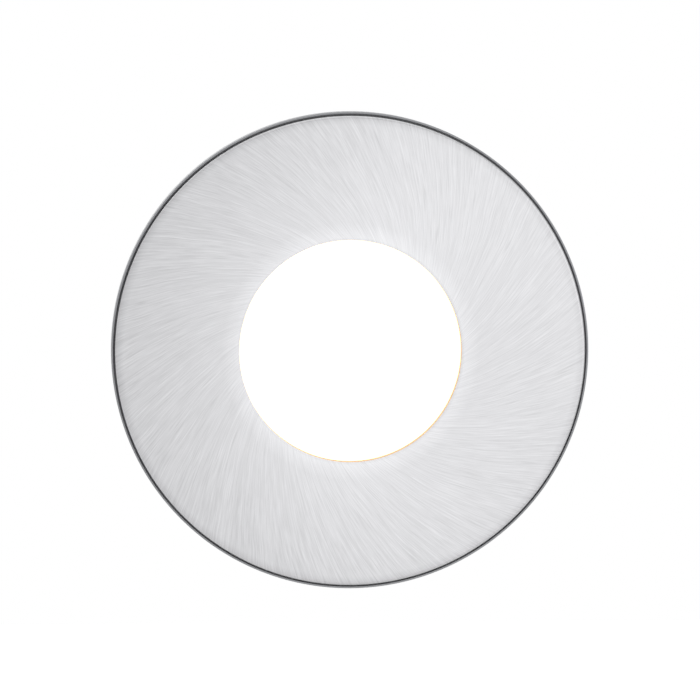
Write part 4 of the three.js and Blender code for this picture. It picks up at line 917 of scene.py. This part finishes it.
HINGE_Y, HINGE_Z, BARREL, KNUCKLE = 60.15, 20.7, 1.9, 5.4
HINGE = (0, HINGE_Y, HINGE_Z)
KNUCKLES = (-15.0, 9.6)
GLAND_PLACE = (8.0, 51.2, -18.5)
PCB_POSTS = [(21.4, -9.5), *BOARD_SCREWS, (-21.4, 12.9)]
pin_bore = round_bar(SMALL_HOLE, -16, 16, 0, 48, "+x", HINGE)
webs = together(*(brick((x, 56.15, 18.0), (x + KNUCKLE, HINGE_Y, HINGE_Z)) for x in KNUCKLES))
knuckles = together(*(round_bar(BARREL, x, x + KNUCKLE, 0.2, 48, "+x", HINGE)
                      for x in KNUCKLES))
catch = brick((-18.5, 57.5, -19.3), (-9.5, 58.5, -18.0), 0.2)
box = carved(box, bars_at(PCB_POSTS, 2.0, 42.3, 45.0, 0.2, 32), webs, knuckles, catch,
             operation="UNION")
box = carved(box, bars_at(STANDOFFS, LARGE_HOLE, 40, 44), bars_at([LEAD_PLACE], 2.45, 40, 44),
             bars_at(BOARD_SCREWS, SMALL_HOLE, 42.8, 46),
             round_bar(6.05, -1, 3, 0, 64, "+z", GLAND_PLACE), pin_bore)
add_piece("wiring_box_grey", box, grey_plastic, "driver_box")

# %% The lid and its pin
LID_LOW, LID_HIGH = 60.3, 62.1
lid_levels = [(0.3, LID_LOW), (0, 60.6), (0, 61.6), (0.15, 61.95), (0.5, LID_HIGH),
              (3.0, LID_HIGH), (3.3, 61.8)]
lid_parts = [
    brick((-9.3, LID_LOW, 18.0), (9.3, LID_HIGH, HINGE_Z)),
    round_bar(BARREL, -9.3, 9.3, 0.2, 48, "+x", HINGE),
    brick((-18.5, LID_LOW, -20.6), (-9.5, LID_HIGH, -14.0)),
    brick((-18.5, 56.2, -20.6), (-9.5, LID_HIGH, -19.6), 0.2),
    brick((-18.5, 56.2, -20.1), (-9.5, 57.2, -18.9), 0.2)]
lid = carved(rounded_box(BOX_X, BOX_Z, BOX_CORNER, lid_levels, 10), *lid_parts,
             operation="UNION")
add_piece("wiring_lid_grey", carved(lid, pin_bore), grey_plastic, "box_lid", body="wiring_lid")
add_piece("lid_pin_zinc", round_bar(0.9, -15.0, 15.0, 0.15, 48, "+x", HINGE), zinc, "lid_pin")

# %% [markdown]
# ## Cable gland
# The gland is moulded in the same grey plastic: a threaded tube with a hexagon, a nut inside
# the wall, and a cap with grip flutes that squeezes a rubber seal. It is drawn along its own
# +Y, and then turned to point out of the box's side.


# %% The gland's four pieces
def fluted(inner, outer, low, high, chamfer, flutes=18, depth=0.35, sides=216):
    """A ring whose outside is r = outer - depth * (cos(flutes a) / 2 + 1/2) ** 4. Each row of
    its section is a radius, a height and the share of the flutes' depth there."""
    angle = np.linspace(0, 2 * np.pi, sides, endpoint=False)
    groove = depth * (0.5 + 0.5 * np.cos(flutes * angle)) ** 4
    mouth, lip = 3.8, high - 1.4
    rows = [(inner, low, 0), (outer - 0.4, low, 0), (outer, low + 0.4, 1),
            (outer, high - chamfer - 0.5, 1), (outer, high - chamfer, 0.3),
            (outer - chamfer, high, 0), (mouth, high, 0), (mouth, lip, 0), (inner, lip, 0)]
    points = [around(r - share * groove, y, angle) for r, y, share in rows]
    return grid(np.array(points), closed_rows=True)


gland = carved(threaded(5.8, 0.35, 1.5, -5.4, 7.6, 64), hexagon(7.4, 0.2, 3.2, 0.5),
               operation="UNION")
gland = carved(gland, round_bar(3.8, -7, 9, 0, 64))
nut = carved(hexagon(7.4, -4.6, -2.0, 0.5), round_bar(6.05, -6, -1, 0, 64))
cap = fluted(6.1, 7.6, 3.5, 11.0, 1.2)
seal = washer(3.6, 5.8, 7.8, 9.4, 0.3, 64)
for name, shape, finish, node in (("gland_grey", gland, grey_plastic, "cable_gland"),
                                  ("gland_nut_grey", nut, grey_plastic, "gland_nut"),
                                  ("gland_cap_grey", cap, grey_plastic, "gland_cap"),
                                  ("gland_seal_rubber", seal, rubber, "gland_seal")):
    add_piece(name, placed(shape, GLAND_PLACE, ALONG["-z"]), finish, node)

# %% [markdown]
# ## Driver
# The driver's board is green glass laminate with copper tracks under its mask. On it stand a
# ferrite transformer with a taped coil, an electrolytic capacitor and the supply terminals.

# %% Green board with copper tracks
# The mask is a clear green gloss, a little lighter where copper lies under it.
green, tree, shader = new_finish("green_solder_mask", "circuit_board", ior=1.5,
                                 coat_weight=0.4, coat_roughness=0.2)
tint = grain(tree, shader, 0.5, "#2a6340", "#306f49", relief=0.004, rough=(0.35, 0.45))
tracks = add(tree, "TexBrick", {
    "Vector": front_view(tree)[2], "Scale": 1.0, "Brick Width": 6.6 * MM, "Row Height": 2.4 * MM,
    "Mortar Size": 0.35 * MM, "Mortar Smooth": 0.2, "Mortar": WHITE, "Color1": BLACK,
    "Color2": BLACK}).outputs["Fac"]
copper = add(tree, "Mix", {0: tracks, 6: tint, 7: linear("#3f8a58")}, data_type="RGBA")
tree.links.new(copper.outputs[2], shader.inputs["Base Color"])

# %% Ferrite, tape, sleeves, nylon, epoxy and tin
# Ferrite and epoxy are dark and matt, tape and a shrunk sleeve smooth and glossy, nylon and
# silicone milky, and solder is bright.
ferrite = grained("sintered_ferrite", "ferrite", 0.3, "#303133", "#3c3d3f", 0.01, (0.5, 0.7))
tape = grained("polyester_winding_tape", "ferrite", 1.2, "#c79b2c", "#d6ad3f", 0.01,
               (0.25, 0.4), (0.3, 4, 0.3), ior=1.6, coat_weight=0.3)
pvc = grained("shrunk_pvc_sleeve", "capacitor_sleeve", 2.0, "#222c47", "#2b3757", 0.006,
              (0.28, 0.4), ior=1.54)
nylon = grained("moulded_white_polyamide", "terminal_plastic", 0.25, "#dcdcd6", "#e6e6e1",
                0.008, (0.45, 0.6), ior=1.53)
wire_white = grained("extruded_silicone_sleeve", "lead_sleeve", 0.8, "#e3e3df", "#eeeeeb",
                     0.004, (0.45, 0.6), ior=1.41)
epoxy = grained("moulded_black_epoxy", "circuit_board", 0.15, "#1f2022", "#2a2b2d", 0.008,
                (0.5, 0.65), ior=1.55)
tin = grained("tin_solder", "circuit_board", 0.5, "#b9bbbd", "#cfd0d0", 0.01, (0.22, 0.38),
              metallic=1.0)

# %% Board, transformer, capacitor
PCB_LOW, BOARD_TOP = 45.0, 46.6
pcb = carved(brick((-24.4, PCB_LOW, -12.5), (24.4, BOARD_TOP, 15.9), 0.1),
             bars_at(BOARD_SCREWS, SMALL_HOLE, 44, 48))
add_piece("driver_board_green", pcb, green, "driver_board")
core = carved(brick((-19.0, BOARD_TOP, -7.1), (-5.0, 57.6, 2.1), 0.3),
              brick((-16.6, 46.0, -9.0), (-7.4, 54.6, 4.0), 0.2))
add_piece("transformer_core", core, ferrite, "driver_transformer")
coil_levels = [(0.5, BOARD_TOP), (0.5, 47.5), (0, 47.7), (0, 53.6), (0.5, 53.8), (0.5, 54.6)]
coil_form = placed(rounded_box(4.6, 7.0, 1.5, coil_levels), (-12.0, 0, -2.5))
add_piece("transformer_coil", coil_form, tape, "driver_transformer")
can_line = [(0, -5.0), (3.0, -5.0), (3.2, -4.8), (3.9, -5.0), (4.2, -4.5), (4.2, 3.2),
            (3.95, 3.5), (4.2, 3.8), (4.2, 4.7), (3.9, 5.0), (0, 5.0)]
can = placed(solid(can_line, 0.25, 3, 64), (-12.0, 51.0, 11.0), ALONG["-x"])
add_piece("capacitor_sleeved", can, pvc, "driver_capacitor")

# %% Small parts of the board
CHIPS = [(10.0, 11.6), (13.2, 11.6), (16.4, 11.6), (10.0, 14.2), (13.2, 14.2), (-1.6, 11.0),
         (21.4, 3.0), (21.4, 5.4), (20.0, -6.0), (-3.2, -7.4)]
DIODE_Y, DIODE_Z = BOARD_TOP + 1.5, -8.6


def on_board(x, z, half_x, half_z, height, ease, low=BOARD_TOP):
    """A brick that stands on the board, about a place in x and z."""
    return brick((x - half_x, low, z - half_z), (x + half_x, BOARD_TOP + height, z + half_z),
                 ease)


def diode_bar(radius, low, high, ease, sides):
    """A round bar along the diode's axis."""
    return round_bar(radius, low, high, ease, sides, "+x", (0, DIODE_Y, DIODE_Z))


chips = [on_board(x, z, 0.6, 0.6, 0.55, 0.06) for x, z in CHIPS]
driver_chip = on_board(4.1, 12.7, 2.5, 1.8, 1.6, 0.12, low=BOARD_TOP + 0.1)
diode = diode_bar(1.3, 6.5, 11.5, 0.3, 32)
add_piece("board_parts_epoxy", together(driver_chip, diode, *chips), epoxy)
ends = [on_board(x + side * 0.75, z, 0.2, 0.62, 0.57, 0.06)
        for x, z in CHIPS for side in (-1, 1)]
legs = [on_board(x, z, 0.2, 0.5, 0.6, 0.08) for x in (2.2, 3.47, 4.73, 6.0)
        for z in (10.4, 15.0)]
wires = [diode_bar(0.35, low, high, 0.05, 16) for low, high in ((4.6, 6.6), (11.4, 13.4))]
joint = turned([(0, 1.75), (0.3, 1.75), (0.38, 0.9), (0.6, 0.4), (1.0, 0.0), (0, 0.0)], 24,
               closed=False)
joints = [placed(joint, (x, BOARD_TOP, DIODE_Z)) for x in (4.7, 13.3)]
add_piece("board_parts_tin", together(*ends, *legs, *wires, *joints), tin)

# %% Terminals
POLES = (2.0, 8.0, 14.0)
WELLS = [(x, 0.4) for x in POLES]
WELL_LOW, SCREW_TOP = 53.6, 56.0
block = brick((-1.0, BOARD_TOP, -3.0), (17.0, 57.0, 9.0), 0.3)
wire_holes = together(*(round_bar(1.5, -2, 4, 0, 32, "-z", (x, 50.4, 0)) for x in POLES))
gaps = together(*(brick((x - 0.25, 56.5, -4.0), (x + 0.25, 60.0, 10.0), 0.05)
                  for x in (5.0, 11.0)))
block = carved(block, bars_at(WELLS, 1.9, WELL_LOW, 58.0), wire_holes, gaps)
add_piece("terminal_block_nylon", block, nylon, "terminal_block")
grub = carved(round_bar(1.6, WELL_LOW, SCREW_TOP, 0.15, 48),
              placed(together(*cross(1.0, 0.25, 0, 0.6)), (0, SCREW_TOP, 0), ALONG["-y"]))
add_row("terminal_screw", grub, seats(WELLS))

# %% The lead and its grommet
LEAD_X, LEAD_END_X, LEAD_BEND, LEAD_TURN, LEAD_END = LEAD_PLACE[0], -14.1, 2.2, 8.3, 10.3
down = np.stack([np.full(30, LEAD_X), np.linspace(44.7, LEAD_TURN + 0.6, 30)], -1)
arc = quarter(((LEAD_X + LEAD_END_X) / 2, LEAD_TURN), LEAD_BEND, 180, 360, 25)
lead_path = np.vstack([down, arc, [(LEAD_END_X, 9.3), (LEAD_END_X, LEAD_END)]])
lead_path = np.c_[lead_path, 0 * lead_path[:, 0]]
add_piece("lead_silicone", tube(lead_path, 1.0, 24), wire_white, "led_lead", crease=60)
grommet_line = [(1.25, 40.1), (2.75, 40.1), (3.45, 40.8), (2.2, 40.8), (2.2, 43.0),
                (3.45, 43.0), (2.75, 43.7), (1.25, 43.7)]
grommet = placed(turned(eased(grommet_line, 0.25), 48), (LEAD_X, 0, 0))
add_piece("grommet_rubber", grommet, rubber, "lead_grommet")

# %% [markdown]
# ## Camera and light
# The picture looks almost straight at the ring, from a little above and to the left, with a long
# lens. The background is white because the camera's rays, and those that metal reflects, see a
# white world; the light itself stays plain and soft. A large lamp on the right and a small one
# to the right of the camera shade the ring, and one above and one behind serve the other sides.

# %% Camera
AZIMUTH, ELEVATION = math.radians(-3.2), math.radians(4.4)
DISTANCE, SENSOR = 1.2, 36.0
FRAME_WIDTH = 124.70 * MM          # what the picture's width shows at the rim
aim = Vector((0.05, -2.0, 0.0)) * MM
toward = Vector((math.sin(AZIMUTH) * math.cos(ELEVATION),
                 -math.cos(AZIMUTH) * math.cos(ELEVATION), math.sin(ELEVATION)))
camera_data = bpy.data.cameras.new("camera")
camera = bpy.data.objects.new("camera", camera_data)
bpy.context.scene.collection.objects.link(camera)
camera.location = aim + toward * DISTANCE
camera.rotation_euler = (-toward).to_track_quat("-Z", "Y").to_euler()
camera_data.sensor_width = SENSOR
camera_data.lens = SENSOR * DISTANCE / FRAME_WIDTH
camera_data.clip_start = 0.01
bpy.context.scene.camera = camera
print(f"camera lens {camera_data.lens:.0f} mm")


# %% World
def looked_at(tree, *kinds):
    """1 for the camera's rays and for some other kinds, such as those that metal reflects, and 0
    for the rest."""
    rays = add(tree, "LightPath").outputs
    seen = rays["Is Camera Ray"]
    for kind in kinds:
        seen = add(tree, "Math", {0: seen, 1: rays[kind]}, operation="MAXIMUM").outputs[0]
    return seen


WORLD_LIGHT, WORLD_SHOWN = 0.6, 1.0      # what the world gives as light, and what is seen
world = bpy.data.worlds.new("studio")
world.use_nodes = True
bpy.context.scene.world = world
tree = world.node_tree
tree.nodes.clear()
seen = looked_at(tree, "Is Glossy Ray", "Is Transmission Ray")
level = add(tree, "MapRange", {0: seen, 3: WORLD_LIGHT, 4: WORLD_SHOWN}).outputs[0]
sky = add(tree, "Background", {"Color": WHITE, "Strength": level})
add(tree, "OutputWorld", {"Surface": sky.outputs[0]})


# %% Lamps
def lamp(name, spot, size, power):
    """A square area lamp that faces the light, with its place and size in metres, its power in
    watts."""
    data = bpy.data.lights.new(name, "AREA")
    data.size, data.energy = size, power
    item = bpy.data.objects.new(name, data)
    bpy.context.scene.collection.objects.link(item)
    item.location = spot
    item.rotation_euler = (-Vector(spot)).to_track_quat("-Z", "Y").to_euler()
    item.visible_camera = False


lamp("key_right", (1.2, -0.9, 0.2), 1.4, 5.0)
lamp("front_right", (0.4, -1.3, 0.05), 0.5, 0.8)
lamp("top", (0.0, -0.1, 0.9), 0.8, 1.0)
lamp("back", (-0.5, 0.8, 0.5), 0.7, 3.0)

# %% Floor
FLOOR_LEVEL, FLOOR_HALF = -0.12, 0.6
FLOOR_GLOW = 0.34                  # lifts the lit paper to white for the camera
corners = np.array([(-1, -1), (1, -1), (1, 1), (-1, 1)]) * FLOOR_HALF
floor_mesh = bpy.data.meshes.new("floor")
floor_mesh.from_pydata(np.c_[corners, np.full(4, FLOOR_LEVEL)].tolist(), [], [(0, 1, 2, 3)])
floor = bpy.data.objects.new("floor", floor_mesh)
bpy.context.scene.collection.objects.link(floor)
paper, tree, shader = new_finish("white_paper_floor", roughness=0.9,
                                 base_color=(0.9, 0.9, 0.9, 1))
glow = add(tree, "Emission", {"Color": WHITE, "Strength": FLOOR_GLOW})
both = add(tree, "AddShader", {0: shader.outputs[0], 1: glow.outputs[0]})
seen = looked_at(tree, "Is Glossy Ray")
mixed = add(tree, "MixShader", {0: seen, 1: shader.outputs[0], 2: both.outputs[0]})
tree.links.new(mixed.outputs[0], tree.nodes["Material Output"].inputs["Surface"])
floor_mesh.materials.append(paper)

# %% [markdown]
# ## Colour management
# The Standard view shows colours as they are written.

# %% Finish
bpy.context.scene.view_settings.view_transform = "Standard"
